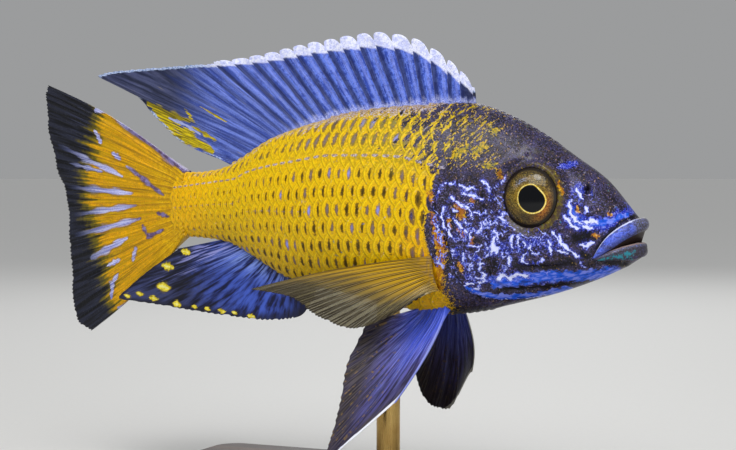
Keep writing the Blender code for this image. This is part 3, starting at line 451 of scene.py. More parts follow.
def in_photo(station, side, height):
    """The pixels at which the photo shows points of the fish."""
    toward = np.array([math.sin(PHOTO_AZIMUTH) * math.cos(PHOTO_ELEVATION),
                       -math.cos(PHOTO_AZIMUTH) * math.cos(PHOTO_ELEVATION), math.sin(PHOTO_ELEVATION)])
    rightward = np.array([math.cos(PHOTO_AZIMUTH), math.sin(PHOTO_AZIMUTH), 0.0])
    point = place(station, side, height) / MM - np.array([0, 0, AXIS_HEIGHT])
    enlarged = PHOTO_WIDTH * PHOTO_LENS / SENSOR_WIDTH / (PHOTO_DISTANCE - point @ toward)
    return np.array([PHOTO_WIDTH / 2 + enlarged * (point @ rightward),
                     PHOTO_HEIGHT / 2 - enlarged * (point @ np.cross(toward, rightward))])


def seen_at(pixels, side=0.0, on_flank=False):
    """(station, height), to 0.1 mm, of what pixels show, at a distance aside or on the right flank."""
    station, height = np.full(len(pixels), BODY_LENGTH / 2), np.zeros(len(pixels))
    for _ in range(SIGHT_ROUNDS):
        if on_flank:
            side = (side + RIGHT * width_at(station, height)) / 2
        here = in_photo(station, side, height)
        behind = in_photo(station + 1, side, height) - here
        above = in_photo(station, side, height + 1) - here
        x, y = np.transpose(pixels) - here
        share = behind[0] * above[1] - behind[1] * above[0]
        station = station + (x * above[1] - y * above[0]) / share
        height = height + (y * behind[0] - x * behind[1]) / share
    return [(round(float(s), 1), round(float(h), 1)) for s, h in zip(station, height)]


def seen_strokes(views, on_flank=False):
    """Strokes as (half width, path of (station, height)), from paths read off enlarged views."""
    return [(width, seen_at([(left + x / enlarged, top + y / enlarged) for x, y in path], on_flank=on_flank))
            for (left, top, enlarged), strokes in views for width, path in strokes]


# The body's section

back_height = Curve(sorted(BACK_SET + seen_at(BACK_IN_PHOTO)))
belly_height = Curve(sorted(BELLY_SET + seen_at(BELLY_IN_PHOTO)))
half_width = Curve(HALF_WIDTH)
widest_height = Curve(WIDEST_HEIGHT)
back_roundness = Curve(BACK_ROUNDNESS)
belly_roundness = Curve(BELLY_ROUNDNESS)


def half_section(station, over):
    """Height of the widest place, reach from there and roundness of the body's upper or lower half."""
    middle = widest_height(station)
    reach = np.where(over, back_height(station) - middle, middle - belly_height(station))
    return middle, reach, np.where(over, back_roundness(station), belly_roundness(station))


def section(station, angle):
    """(side, height) on the body's surface. The angle runs from the left side over the back."""
    c, s = np.cos(angle), np.sin(angle)
    middle, reach, roundness = half_section(station, s >= 0)
    side = half_width(station) * np.copysign(np.abs(c) ** (2 / roundness), c)
    return side, middle + np.copysign(reach * np.abs(s) ** (2 / roundness), s)


def angle_at(station, height):
    """Angle of the left side's surface point at a height."""
    rise = height - widest_height(station)
    _, reach, roundness = half_section(station, rise >= 0)
    return np.copysign(np.arcsin(np.clip(np.abs(rise) / reach, 0, 1) ** (roundness / 2)), rise)


def width_at(station, height):
    return section(station, angle_at(station, height))[0]


lateral_line = Curve(sorted(LATERAL_SET + seen_at(LATERAL_IN_PHOTO, on_flank=True)))
lower_line = Curve(sorted(LOWER_LATERAL_SET + seen_at(LOWER_LATERAL_IN_PHOTO, on_flank=True)))
column_pitch = Curve(COLUMN_PITCH)
row_pitch = Curve(ROW_PITCH)
coat_front = Curve(COAT_FRONT)
gold_front = Curve(GOLD_FRONT)


def underside_at(station, side):
    """Height of the belly's surface at a distance from the midline."""
    share = np.minimum(1.0, np.abs(side) / half_width(station))
    middle, reach, roundness = half_section(station, False)
    return middle - reach * (1 - share ** roundness) ** (1 / roundness)


def normals_of(grid, wrap=False):
    """Unit normals of a grid of points, rings first. wrap closes the rings."""
    across = np.roll(grid, -1, 1) - np.roll(grid, 1, 1) if wrap else np.gradient(grid, axis=1)
    normal = np.cross(np.gradient(grid, axis=0), across)
    return normal / np.maximum(np.linalg.norm(normal, axis=2, keepdims=True), 1e-12)


# Meshes

def make_mesh(name, points, faces, values=None, bake_map=None):
    """A smooth mesh of triangles. values are named numbers kept at its points."""
    mesh = bpy.data.meshes.new(name)
    mesh.vertices.add(len(points))
    mesh.vertices.foreach_set("co", np.asarray(points, np.float32).ravel())
    mesh.loops.add(faces.size)
    mesh.loops.foreach_set("vertex_index", faces.astype(np.int32).ravel())
    mesh.polygons.add(len(faces))
    mesh.polygons.foreach_set("loop_start", np.arange(0, faces.size, 3, dtype=np.int32))
    mesh.update(calc_edges=True)
    mesh.validate()
    for key, numbers in (values or {}).items():
        attribute = mesh.attributes.new(key, "FLOAT", "POINT")
        attribute.data.foreach_set("value", np.asarray(numbers, np.float32).ravel())
    if bake_map is not None:
        layer = mesh.uv_layers.new(name="OFBake")
        layer.data.foreach_set("uv", bake_map.astype(np.float32)[faces.ravel()].ravel())
    mesh.shade_smooth()
    return mesh


def add_piece(name, mesh, material, slot, replaced=()):
    """An object that rides on the model and stands for the CAD nodes that it replaces."""
    mesh.materials.append(material)
    piece = bpy.data.objects.new(name, mesh)
    bpy.context.scene.collection.objects.link(piece)
    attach(piece, "root")
    if replaced:
        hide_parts(*replaced)
    return piece


def grid_faces(rows, columns, wrap=False, start=0):
    """Triangles over a grid of points, row after row."""
    i = np.arange(rows - 1)[:, None]
    j = np.arange(columns if wrap else columns - 1)[None, :]
    k = (j + 1) % columns
    a, b = start + i * columns + j, start + i * columns + k
    d, c = a + columns, b + columns
    return np.concatenate([np.stack([a, b, c], -1).reshape(-1, 3), np.stack([a, c, d], -1).reshape(-1, 3)])


def sheet_faces(rows, columns):
    """Triangles of a thin solid: one grid of points, a second one under it and the rim between them."""
    count = rows * columns
    index = np.arange(count).reshape(rows, columns)
    rim = np.concatenate([index[0, :], index[1:, -1], index[-1, -2::-1], index[-2:0:-1, 0]])
    after = np.roll(rim, -1)
    return np.concatenate([grid_faces(rows, columns), grid_faces(rows, columns, start=count)[:, ::-1],
                           np.stack([rim, rim + count, after + count], -1),
                           np.stack([rim, after + count, after], -1)])


# Shader nodes

def tone(red, green, blue):
    """The linear numbers of a colour given as on a screen, 0 to 255."""
    return tuple(c / 255 / 12.92 if c <= 10 else ((c / 255 + 0.055) / 1.055) ** 2.4
                 for c in (red, green, blue))


class Graph:
    """Adds nodes to a material or a shader group.

    A name stands for a value given to the group or, without one, for the numbers kept at the mesh's points.
    A tuple stands for a colour as on a screen, 0 to 255.
    """

    def __init__(self, tree, given=()):
        self.tree = tree
        self.named = {socket.name: socket for socket in given}
        self.tools = self, self.ease, self.mix, self.blend, self.times, self.total

    def value(self, name):
        if name not in self.named:
            self.named[name] = self.node("Attribute", attribute_name=name).outputs["Fac"]
        return self.named[name]

    def feed(self, socket, value):
        if isinstance(value, str):
            value = self.value(value)
        if isinstance(value, bpy.types.NodeSocket):
            self.tree.links.new(value, socket)
        elif socket.type == "RGBA":
            socket.default_value = (*(tone(*value) if isinstance(value, tuple) else value[:3]), 1)
        else:
            socket.default_value = value

    def node(self, kind, inputs=None, **settings):
        node = self.tree.nodes.new("ShaderNode" + kind)
        for key, value in settings.items():
            setattr(node, key, value)
        for key, value in (inputs or {}).items():
            self.feed(node.inputs[key], value)
        return node

    def math(self, operation, first, second=0.0):
        return self.node("Math", {0: first, 1: second}, operation=operation).outputs[0]

    def total(self, first, *terms):
        for term in terms:
            first = self.math("ADD", first, term)
        return first

    def times(self, first, *terms):
        for term in terms:
            first = self.math("MULTIPLY", first, term)
        return first

    def less(self, value):
        """1 minus a value."""
        return self.math("SUBTRACT", 1.0, value)

    def uneven(self, noise):
        """Noise that swings round 0."""
        return self.math("SUBTRACT", noise, 0.5)

    def mix(self, share, first, second):
        return self.node("Mix", {0: share, 6: first, 7: second}, data_type="RGBA").outputs[2]

    def ease(self, value, start, end, low=0.0, high=1.0):
        return self.node("MapRange", {0: value, 1: start, 2: end, 3: low, 4: high},
                         interpolation_type="SMOOTHSTEP").outputs[0]

    def blend(self, value, start, end, first, second):
        """The first colour where value is at start, easing to the second at end."""
        return self.mix(self.ease(value, start, end), first, second)

    def layers(self, colour, *coats):
        """Lays coats over a colour, each a colour and the shares that are multiplied for it."""
        for coat, *shares in coats:
            colour = self.mix(self.times(*shares), colour, coat)
        return colour

    def bell(self, value, middle, width):
        """1 where value is at the middle, fading to 0 over the width on both sides."""
        return self.ease(self.math("ABSOLUTE", self.math("SUBTRACT", value, middle)), width, 0.0)

    def places(self):
        return self.node("TexCoord").outputs["Object"]

    def vector(self, x, y, z=0.0):
        return self.node("CombineXYZ", {0: x, 1: y, 2: z}).outputs[0]

    def noise(self, where, scale, detail=3.0, roughness=0.55):
        inputs = {"Vector": where, "Scale": scale, "Detail": detail, "Roughness": roughness}
        return self.node("TexNoise", inputs).outputs[0]


def shader_group(name, inputs, outputs, build):
    """A shader node group, made once. build(*graph.tools) returns the value of each output by name."""
    tree = bpy.data.node_groups.get(name)
    if tree:
        return tree
    tree = bpy.data.node_groups.new(name, "ShaderNodeTree")
    for label, default in inputs.items():
        is_colour = isinstance(default, tuple)
        socket = tree.interface.new_socket(name=label, in_out="INPUT",
                                           socket_type="NodeSocketColor" if is_colour else "NodeSocketFloat")
        socket.default_value = (*default, 1) if is_colour else default
    for label, kind in outputs.items():
        tree.interface.new_socket(name=label, in_out="OUTPUT", socket_type="NodeSocket" + kind)
    given = tree.nodes.new("NodeGroupInput")
    put = tree.nodes.new("NodeGroupOutput")
    graph = Graph(tree, given.outputs)
    for label, value in build(*graph.tools).items():
        tree.links.new(value, put.inputs[label])
    return tree


def new_material(name, paint, **constants):
    """A material. paint(*graph.tools) feeds the Principled BSDF, with Bump as (height, distance)."""
    material = bpy.data.materials.new(name)
    material.use_nodes = True
    graph = Graph(material.node_tree)
    surface = material.node_tree.nodes["Principled BSDF"]
    for label, value in constants.items():
        graph.feed(surface.inputs[label.replace("_", " ")], value)
    for label, value in paint(*graph.tools).items():
        if label == "Bump":
            height, distance = value
            value = graph.node("Bump", {"Height": height, "Distance": distance, "Strength": 1.0}).outputs[0]
            label = "Normal"
        graph.feed(surface.inputs[label], value)
    return material


# Effects shared by materials

def ray_streaks():
    """Streaks that run along a fin's rays, from the ray and reach kept at its points."""
    def build(graph, ease, mix, blend, times, total):
        def streaks(finer, shorter, seed, detail):
            where = graph.vector(times("ray", "Density", finer), times("reach", "Breaks", shorter), seed)
            return graph.noise(where, 1.0, detail)

        joints = graph.math("SINE", times("reach", "Joints"))
        return {"Streak": streaks(1.0, 1.0, 3.0, 3.0), "Thread": streaks(4.0, 1.6, 7.0, 2.0),
                "Joint": ease(joints, 0.75, 1.0)}

    return shader_group("Ray Streaks", {"Density": 2.0, "Breaks": 3.0, "Joints": 250.0},
                        {"Streak": "Float", "Thread": "Float", "Joint": "Float"}, build)


def body_paint():
    """Colour, roughness and relief of the skin and the scales, from the markings kept at their points."""
    def build(graph, ease, mix, blend, times, total):
        at = graph.places()
        x, y, z = graph.node("SeparateXYZ", {0: at}).outputs
        broad = graph.noise(at, 380)
        fleck = graph.noise(at, 1500, 3.0, 0.6)
        grain = graph.noise(at, 3300, 2.0, 0.7)
        sweep = graph.noise(graph.vector(times(x, 0.3), y, z), 1500, 2.0)
        slanted = graph.vector(graph.math("SUBTRACT", x, z), times(total(x, z), 0.2), times(y, 0.2))
        slope = graph.uneven(graph.noise(slanted, 1350, 2.0))
        wide, ragged, speck = graph.uneven(broad), graph.uneven(fleck), graph.uneven(grain)

        haze = ease(total("haze", times(ragged, 2.2), times(wide, 1.4), times(speck, 1.2)), 0.5, 1.1)
        ground = graph.layers(
            blend(broad, 0.38, 0.62, "Slate", "Violet"),
            ("Brown", ease(fleck, 0.48, 0.62), 0.7),
            ("Haze", ease(grain, 0.53, 0.64), total(0.4, times("wander", 0.2))),
            ("Black", ease(grain, 0.47, 0.38), 0.8),
            (mix(times(ease(grain, 0.5, 0.66), 0.8), "Royal Blue", "Lilac"), haze),
            (blend(fleck, 0.42, 0.6, "Brown", "Fold"), ease(total("fold", times(ragged, 0.5)), 0.25, 0.8),
             0.9),
            # black over dark marks and over painted shade in grooves and in the eye's socket
            ("Black", ease(total("soot", times(ragged, 0.9)), 0.2, 0.85), 0.92))

        marked = ease(total("mark", times(ragged, 0.9), times(speck, 0.5), times("violet", 0.3)), 0.4, 0.58)
        spot = graph.layers(
            blend("pick", 0.55, 0.8, "Bark", "Plum"),
            ("Lilac", ease("pick", 0.93, 0.99)),
            (mix(0.4, "Royal Blue", "Violet"), "violet", ease("pick", 0.2, 0.4)),
            (mix(0.5, "Olive", "Bark"), ease("mark", 0.85, 0.55), 0.8))
        golden = graph.layers(
            mix("orange", "Gold", "Orange"),
            ("Olive", ease(fleck, 0.46, 0.6), 0.4),
            ("Bright Gold", ease(grain, 0.5, 0.66), 0.5),
            (spot, marked, graph.less(times("orange", 0.4)), 0.94),
            ("Moss", "streak", ease(fleck, 0.4, 0.54), 0.75),
            # painted shadow line along the rear margin of each scale
            (mix(0.6, "Olive", "Bark"), "seam", 0.8),
            (mix("orange", "Bright Gold", "Amber"), ease("net", 0.35, 0.9), 0.4))
        gold = ease(total("gold", times("net", 0.24), times(marked, -0.25), ragged, times(speck, 0.9),
                          times(slope, "streak", 2.4)), 0.36, 0.6)
        bare = graph.less(gold)

        frost = ease(total("frost", times(slope, 2.2), times(speck, 1.2)), 0.45, 0.9)
        gilt = ease(total("gilt", times(ragged, total(2.0, times("streak", 2.5))), times(speck, 3.0)), 0.55,
                    0.9)
        gilding = blend(total(fleck, times(speck, 0.6)), 0.48, 0.7, blend("streak", 0.1, 0.5, "Rust", "Moss"),
                        "Gold")
        azure = ease(total("azure", times(ragged, 1.3), times(graph.uneven(sweep), 1.2)), 0.35, 0.85)
        colour = graph.layers(
            mix(gold, mix(times("net", bare, 0.3), ground, "Violet"), golden),
            (blend(grain, 0.44, 0.6, "Olive", "Frost"), frost, 0.8),
            (gilding, gilt, 0.9),
            (mix(times(ease(sweep, 0.46, 0.64), 0.75), "Azure", "Lilac"), azure),
            ("Black", azure, ease(sweep, 0.42, 0.3), 0.7),
            ("Royal Blue", "glow", ease(total(fleck, times(speck, 0.9)), 0.45, 0.63), 0.66, bare))

        def worms(scale):
            return ease(graph.math("ABSOLUTE", graph.uneven(graph.noise(at, scale, 1.0, 0.5))), 0.06, 0.0)

        wander = times(graph.math("MAXIMUM", worms(430), times(worms(820), 0.8)), ease(broad, 0.47, 0.57),
                       "wander")
        depth = times(total(graph.math("MAXIMUM", "pale", wander), times(ragged, 0.8), times(speck, 0.9)),
                      graph.less(times(gold, 0.8)))
        pale = ease(depth, 0.72, 1.15)
        colour = graph.layers(
            colour,
            (blend(total(fleck, speck), 0.42, 0.6, "Royal Blue", "Lilac"), ease(depth, 0.28, 0.6)),
            ("Pale", pale),
            (blend(grain, 0.46, 0.6, "Plum", "Frost"), ease("tube", 0.35, 0.7), 0.85))

        lip = graph.layers(
            blend(total("lip_front", times(ragged, 0.8)), 0.25, 0.8, "Lip Blue", "Lip Grey"),
            ("Lip Dark", "lip_low", 0.85),
            ("Lip Dark", ease(sweep, 0.48, 0.4), 0.6),
            ("Lilac", ease(grain, 0.5, 0.66), graph.less(times("lip_low", 0.8)), 0.45),
            ("Slate", ease(grain, 0.46, 0.34), 0.5))
        # lip_shine is a painted highlight along the upper lip's top edge
        for mask, coat, frayed in (("lip", lip, 0.0), ("lip_under", "Lip Rose", 0.4),
                                   # gape paints the mouth's inside dark brown, partly as painted shade
                                   ("lip_shine", "Pale", 0.9), ("teal", "Teal", 2.2), ("gape", "Mouth", 0.0)):
            colour = mix(ease(total(mask, times(ragged, frayed)), 0.3, 0.72), colour, coat)

        from_middle = graph.math("POWER", total(times("across", "across"), times("along", "along")), 0.5)
        rings = graph.math("SINE", times(from_middle, 75.0))
        return {"Color": colour,
                "Roughness": total(0.38, times(ragged, 0.25), times(gold, 0.06), times("gape", 0.2)),
                "Relief": total(times(fleck, 0.5), times(grain, 0.5), times(rings, "scale", 0.12),
                                times(pale, 0.15))}

    return shader_group("Body Paint", BODY_TONES, {"Color": "Color", "Roughness": "Float", "Relief": "Float"},
                        build)


BODY_TONES = {name: tone(*colour) for name, colour in {
    "Slate": (36, 33, 44), "Violet": (58, 54, 84), "Brown": (70, 54, 42), "Black": (10, 8, 14),
    "Haze": (104, 98, 168), "Royal Blue": (30, 46, 170), "Azure": (22, 84, 214), "Lilac": (134, 146, 240),
    "Pale": (214, 220, 255), "Gold": (218, 174, 0), "Bright Gold": (252, 218, 8), "Olive": (160, 122, 2),
    "Orange": (240, 164, 0), "Amber": (255, 196, 10), "Plum": (112, 96, 104), "Bark": (40, 29, 8),
    "Moss": (140, 128, 10), "Rust": (160, 96, 10), "Fold": (104, 92, 30), "Frost": (186, 184, 208),
    "Lip Blue": (80, 102, 214), "Lip Grey": (92, 92, 106), "Lip Rose": (150, 128, 124),
    "Lip Dark": (52, 46, 54),
    "Teal": (34, 122, 140), "Mouth": (40, 28, 26),
}.items()}


# Markings

pale_strokes = seen_strokes(PALE_SEEN, on_flank=True) + PALE_SET
azure_strokes = seen_strokes(AZURE_SEEN, on_flank=True) + AZURE_SET
gilt_strokes = seen_strokes(GILT_SEEN, on_flank=True) + GILT_SET


def nearest_stroke(station, height, strokes, taper=0.0):
    """How deep points lie in the nearest stroke: 1.5 at its middle, 0.5 at its edge and less outside."""
    depth = np.full_like(station, -9.0)
    for width, path in strokes:
        apart, along = from_path(station, height, path)
        swell = np.sin(math.pi * (0.12 + 0.76 * along)) * (1 + 0.35 * np.sin(17 * along + 9 * width))
        depth = np.maximum(depth, 1.5 - np.abs(apart) / (width * (1 - taper + taper * swell)))
    return depth


def markings(station, side, height):
    """The fish's markings, with painted shade in some grooves of the head, as numbers at points of its
    surface, the same for the skin and the scales.
    """
    station, side, height = (np.array(a, float) for a in np.broadcast_arrays(station, side, height))
    shape = station.shape
    station, side, height = station.ravel(), side.ravel(), height.ravel()
    s = station + np.where(side > 0, 0.45 * np.sin(height * 0.9 + 1.0), 0.0)
    h = height + np.where(side > 0, 0.4 * np.sin(station * 0.7), 0.0)
    up, low = ease(h, 8, 14), ease(-h, 8.5, 12.5)
    under_back = h - back_height(s)
    gold = ease(s - gold_front(h), -0.6 - 4.5 * up - 2.4 * low, 1.8 + 14.0 * up + 7.0 * low)
    gold = gold - 0.12 * ease(-s, -26, -16)
    values = {
        "gold": gold,
        "violet": (1 - ease(s, 38.5, 44.5)) * ease(h, -11, -7) * (1 - ease(h, 5, 9)),
        "streak": up * (1 - 0.75 * ease(s, 46, 62)) * ease(s, 20, 30),
        "frost": ease(under_back, -3.4, -0.4) * ease(s, 34, 42) * (1 - 0.6 * ease(s, 60, 84)),
        "orange": ease(s, 84, 100) * 0.4 + 0.5 * ease(-h, -3, 4) * (1 - ease(s, 40, 48)) * gold,
    }
    near = s < 42
    hs, hh = s[near], h[near]
    hs = hs + 0.13 * np.sin(3.1 * hh + 1.7 * hs) + 0.08 * np.sin(7.3 * hh - 2.9 * hs)
    hh = hh + 0.13 * np.sin(2.7 * hs - 1.3 * hh + 2.0) + 0.08 * np.sin(6.1 * hs + 3.7 * hh)
    pale = nearest_stroke(hs, hh, pale_strokes, 0.55)
    on_head = {
        "pale": pale, "glow": ease(pale, -1.6, 0.2) * ease(hs, 8, 11),
        "azure": nearest_stroke(hs, hh, azure_strokes), "gilt": nearest_stroke(hs, hh, gilt_strokes),
        "wander": ease(hs, 14, 18) * ease(-hh, -9, -6) * ease(hh, -11.5, -9) * ease(-hs, -38.5, -37),
    }
    # the dark patches hold dark marks and painted shade in grooves
    for key, patches in (("haze", BLUE_HAZE), ("soot", DARK_PATCHES)):
        total = np.zeros_like(hs)
        for width, amount, path in patches:
            total = np.maximum(total, amount * bell(from_path(hs, hh, path)[0], width))
        on_head[key] = total
    for key, numbers in on_head.items():
        values[key] = np.zeros_like(s)
        values[key][near] = np.maximum(numbers, 0)
    values["gold"][near] = np.maximum(values["gold"][near], 0.24 * ease(hs, 24, 31) * ease(hh, 8.5, 12))
    under = ease(-h, 13.5, 16.0) * (1 - ease(s, 38, 50)) * 0.8
    values["soot"] = np.maximum(values["soot"], under)
    return {key: value.reshape(shape) for key, value in values.items()}


# Scales

class Flank:
    """How far down the body's section from the lateral line its points lie, as a table over one flank."""

    def __init__(self):
        self.stations = np.arange(FLANK_START, SKIN_END + FLANK_STEP, FLANK_STEP)
        self.angles = np.linspace(math.pi / 2 + 1.0, -math.pi / 2 - 1.0, 481)
        side, height = section(self.stations[:, None], self.angles[None])
        lengths = np.cumsum(np.hypot(np.diff(side), np.diff(height)), 1)
        arc = np.concatenate([np.zeros((len(side), 1)), lengths], 1)
        self.reach = arc - self.at_angle(arc, angle_at(self.stations, lateral_line(self.stations)))[:, None]
        self.tops, self.feet = (self.at_angle(self.reach, np.full(len(arc), end))
                                for end in (math.pi / 2, -math.pi / 2))
        self.reaches = np.arange(*FLANK_REACH, REACH_STEP)
        self.angle_table = np.stack([np.interp(self.reaches, row, self.angles) for row in self.reach])
        self.steps = np.arange(FLANK_START, SKIN_END + FLANK_STEP, COLUMN_STEP)
        self.columns = np.cumsum(COLUMN_STEP / column_pitch(self.steps))

    def at_angle(self, table, angle):
        share = (self.angles[0] - angle) / (self.angles[0] - self.angles[-1]) * (len(self.angles) - 1)
        low = np.clip(share.astype(int), 0, len(self.angles) - 2)
        rows = np.arange(len(table))
        return table[rows, low] + (table[rows, low + 1] - table[rows, low]) * (share - low)

    def lookup(self, table, first, across, start, step):
        """Values of a table over stations and an evenly spaced second number."""
        i = np.clip((first - self.stations[0]) / FLANK_STEP, 0, len(self.stations) - 1.001)
        j = np.clip((across - start) / step, 0, table.shape[1] - 1.001)
        i0, j0 = i.astype(int), j.astype(int)
        u, v = i - i0, j - j0
        return ((table[i0, j0] * (1 - v) + table[i0, j0 + 1] * v) * (1 - u)
                + (table[i0 + 1, j0] * (1 - v) + table[i0 + 1, j0 + 1] * v) * u)

    def angle_for(self, station, reach):
        return self.lookup(self.angle_table, station, reach, self.reaches[0], REACH_STEP)

    def reach_for(self, station, angle):
        return self.lookup(self.reach, station, angle, self.angles[0], self.angles[1] - self.angles[0])

    def limits(self, station):
        """Reach of the back's and of the belly's middle."""
        return np.interp(station, self.stations, self.tops), np.interp(station, self.stations, self.feet)


def main_lattice(column, row):
    station = np.interp(column, flank.columns, flank.steps)
    return station, row * row_pitch(station)


def nape_lattice(column, row):
    station = SMALL_SCALES_START + column * NAPE_PITCH[0]
    return station, flank.limits(station)[0] + row * NAPE_PITCH[1]


def breast_lattice(column, row):
    station = SMALL_SCALES_START + column * BREAST_PITCH[0]
    return station, flank.limits(station)[1] - row * BREAST_PITCH[1]


def face_lattice(column, row):
    return SMALL_SCALES_START + column * FACE_PITCH[0] + row * FACE_SLANT, row * FACE_PITCH[1]


def scale_margin(row):
    """How far back the rear edge of a scale reaches, in columns, at a distance from its middle in rows."""
    return 0.5 - SCALE_CURVE * row * row


def scale_tones(across, along, pick, fade, over):
    """Bright rim, dark mark and painted rim shadow of a scale, in rows and columns from its middle. over is 1
    on the back.
    """
    edge = scale_margin(across) - along
    net = ease(edge, 0.32, 0.12)
    # painted shadow: a thin dark line along the scale's very rear margin, standing for the shade its raised
    # rim casts
    seam = 1 - ease(edge, 0.02, 0.13)
    width = (0.26 + 0.05 * np.sin(40 * pick) + 0.1 * over) * (1 - 0.4 * fade)
    tall = 0.60 + 0.06 * np.sin(70 * pick) + 0.22 * over
    mark = 1.1 - np.hypot((along + 0.08 + 0.35 * across * across - 0.3 * over * across) / width,
                          across / tall)
    return net, np.clip(mark, 0, 1.5) * (1 - fade), seam


def pick_of(column, row):
    """A number from 0 to 1 that belongs to a scale, the same wherever it is asked for."""
    return np.mod(np.abs(np.sin(column * 12.9898 + row * 78.233) * 43758.5453), 1.0)


def mark_pick(pick, row):
    """Chooses greyer marks over the lateral line and some lilac ones just under it."""
    pick = np.where(row < -0.5, 0.66 + 0.32 * pick, pick)
    return np.where(np.abs(row - 1) < 0.6, 0.35 + 0.65 * pick, pick)


def mark_fade(station, height):
    """How much the dark marks fade, towards the tail and the upper back of the tail stalk."""
    rear = 0.28 * ease(station, 60, 80) * ease(height, -5, 1) + 0.12 * ease(station, 84, 97)
    front = 0.85 * ease(-height, 9, 12) * (1 - ease(station, 40, 50))
    return np.clip(rear + front + 0.25 * ease(height, 12, 17) * ease(station, 60, 75), 0, 1)


def skin_scale_values(station, angle, height):
    """The scale pattern on the skin under the coat, by the scale that would show at each point."""
    reach = flank.reach_for(station, np.where(np.cos(angle) >= 0, angle, np.copysign(math.pi, angle) - angle))
    row_share = reach / row_pitch(station)
    column = np.interp(station, flank.steps, flank.columns)
    best = np.full_like(station, -9.0)
    result = {key: np.zeros_like(station) for key in ("net", "mark", "pick", "seam")}
    low = np.floor(row_share)
    for row in (low, low + 1):
        off = np.mod(row, 2) * 0.5
        across = row_share - row
        seat = np.ceil(column - off - scale_margin(across))
        along = column - off - seat
        pick = mark_pick(pick_of(seat, row), row)
        net, mark, seam = scale_tones(across, along, pick, mark_fade(station, height), 1.0 * (row < -0.5))
        front = (np.abs(across) < SCALE_HALF_HEIGHT) & (along > best)
        best = np.where(front, along, best)
        for key, numbers in (("net", net), ("mark", mark), ("pick", pick), ("seam", seam)):
            result[key] = np.where(front, numbers, result[key])
    return result


def coat_cover(station, height):
    """Share of the skin that lies under the large scales."""
    return ease(station - coat_front(height), 0.3, 2.8)


def surface_normal(station, angle, hand):
    """Outward normals of the body's plain form."""
    def at(a, b):
        side, height = section(a, b)
        return place(a, side * hand, height)

    along = at(station + 0.2, angle) - at(station - 0.2, angle)
    around = at(station, angle + 0.01) - at(station, angle - 0.01)
    normal = np.cross(along, around)
    normal /= np.maximum(np.linalg.norm(normal, axis=-1, keepdims=True), 1e-12)
    side, height = section(station, angle)
    outward = at(station, angle) - place(station, 0 * side, widest_height(station))
    return normal * np.sign(np.sum(normal * outward, -1, keepdims=True))


def scale_coat(name, material, slot, lattice, cells, lifts, hand, coarse=False, on_head=False):
    """Joined closed plates, one for each cell. lifts are root and edge over the body in millimetres."""
    c, r, pick = (a[:, None, None] for a in cells)
    u = np.array([0, 0.4, 0.62, 0.76, 0.86, 0.93, 0.975, 1.0] if coarse
                 else [0, 0.3, 0.5, 0.62, 0.72, 0.8, 0.87, 0.925, 0.97, 1.0])
    v = np.linspace(-1, 1, 9 if coarse else 13)
    shape = len(c), len(u), len(v)
    uu, vv = (a[None] for a in np.meshgrid(u, v, indexing="ij"))
    across = vv * SCALE_HALF_HEIGHT * (0.5 + 0.5 * ease(uu, 0.0, 0.45))
    along = SCALE_ROOT + (scale_margin(across) - SCALE_ROOT) * uu
    across, along, pick = (np.broadcast_to(a, shape) for a in (across, along, pick))
    station, reach = lattice(c + along, r + across)
    top, foot = flank.limits(station)
    station = np.clip(station, SCALES_START, SKIN_END)
    angle = flank.angle_for(station, np.clip(reach, top - 0.05, foot + 0.05))
    side, height = section(station, angle)
    root, edge = lifts
    share = (along - SCALE_ROOT) / (0.5 - SCALE_ROOT)
    bulge = share - 0.25 * (across / SCALE_HALF_HEIGHT) ** 2 + (pick - 0.5) * 0.06
    lift = root + (edge - root) * bulge
    tube = np.zeros(shape)
    fade = mark_fade(station, height)
    if on_head:
        lift = lift + head_relief(station, height)
    else:
        on_line = np.abs(r) < 0.2
        middle = np.broadcast_to(height.mean((1, 2), keepdims=True), shape)
        lower = (np.abs(middle - lower_line(station)) < 1.15) & (station > 66)
        bead = bell(across / 0.1, 1) * ease(along, -0.4, -0.1) * (1 - ease(along, 0.25, 0.5))
        tube = bead * (on_line | lower) * (1 - 0.45 * lower)
        lift = lift + 0.1 * tube * on_line
        fade = np.where(on_line, 0.85, fade)
    normal = surface_normal(station, angle, hand)
    points = place(station, side * hand, height) + normal * lift[..., None] * MM
    thick = (0.035 + 0.05 * (1 - uu)) * np.ones(shape)
    under = points - normal * (thick * 2)[..., None] * MM
    count = len(u) * len(v)
    faces = sheet_faces(len(u), len(v))[:, ::-hand]
    everything = (faces[None] + np.arange(len(c))[:, None, None] * 2 * count).reshape(-1, 3)
    both = np.stack([points.reshape(len(c), count, 3), under.reshape(len(c), count, 3)], 1).reshape(-1, 3)

    def doubled(numbers):
        numbers = np.broadcast_to(numbers, shape).reshape(len(c), 1, count)
        return np.broadcast_to(numbers, (len(c), 2, count)).reshape(-1)

    values = markings(station, side * hand, height)
    if not coarse:
        pick = mark_pick(pick, r)
    net, mark, seam = scale_tones(across, along, pick, fade, 1.0 * (r < -0.5))
    values.update(net=net * (0.4 if coarse else 1.0), mark=mark * (not coarse),
                  seam=seam * (0.3 if coarse else 1.0),
                  pick=pick, across=across, along=along, tube=tube, scale=1.0)
    values = {key: doubled(numbers) for key, numbers in values.items()}
    station, reach = lattice(c, r)
    top, foot = flank.limits(station)
    bake_u = (0.5 if hand == RIGHT else 0.0) + 0.02 + 0.46 * (reach - top) / (foot - top)
    bake_v = station / 105 * 0.96 + 0.02
    bake_map = np.stack([doubled(bake_u + across * 0.0015), doubled(bake_v + along * 0.0012)], -1)
    return add_piece(name, make_mesh(name, both, everything, values, bake_map), material, slot)


def lattice_cells(lattice, columns, rows, keep):
    """Columns, rows and picks of the scales whose middle passes keep(station, height, reach, top, foot)."""
    row, seat = (a.ravel().astype(float) for a in np.meshgrid(rows, columns, indexing="ij"))
    column = seat + np.mod(row, 2) * 0.5
    station, reach = lattice(column, row)
    height = section(station, flank.angle_for(np.clip(station, SCALES_START, SKIN_END), reach))[1]
    good = keep(station, height, reach, *flank.limits(station))
    return column[good], row[good], pick_of(seat, row)[good]


# Skin

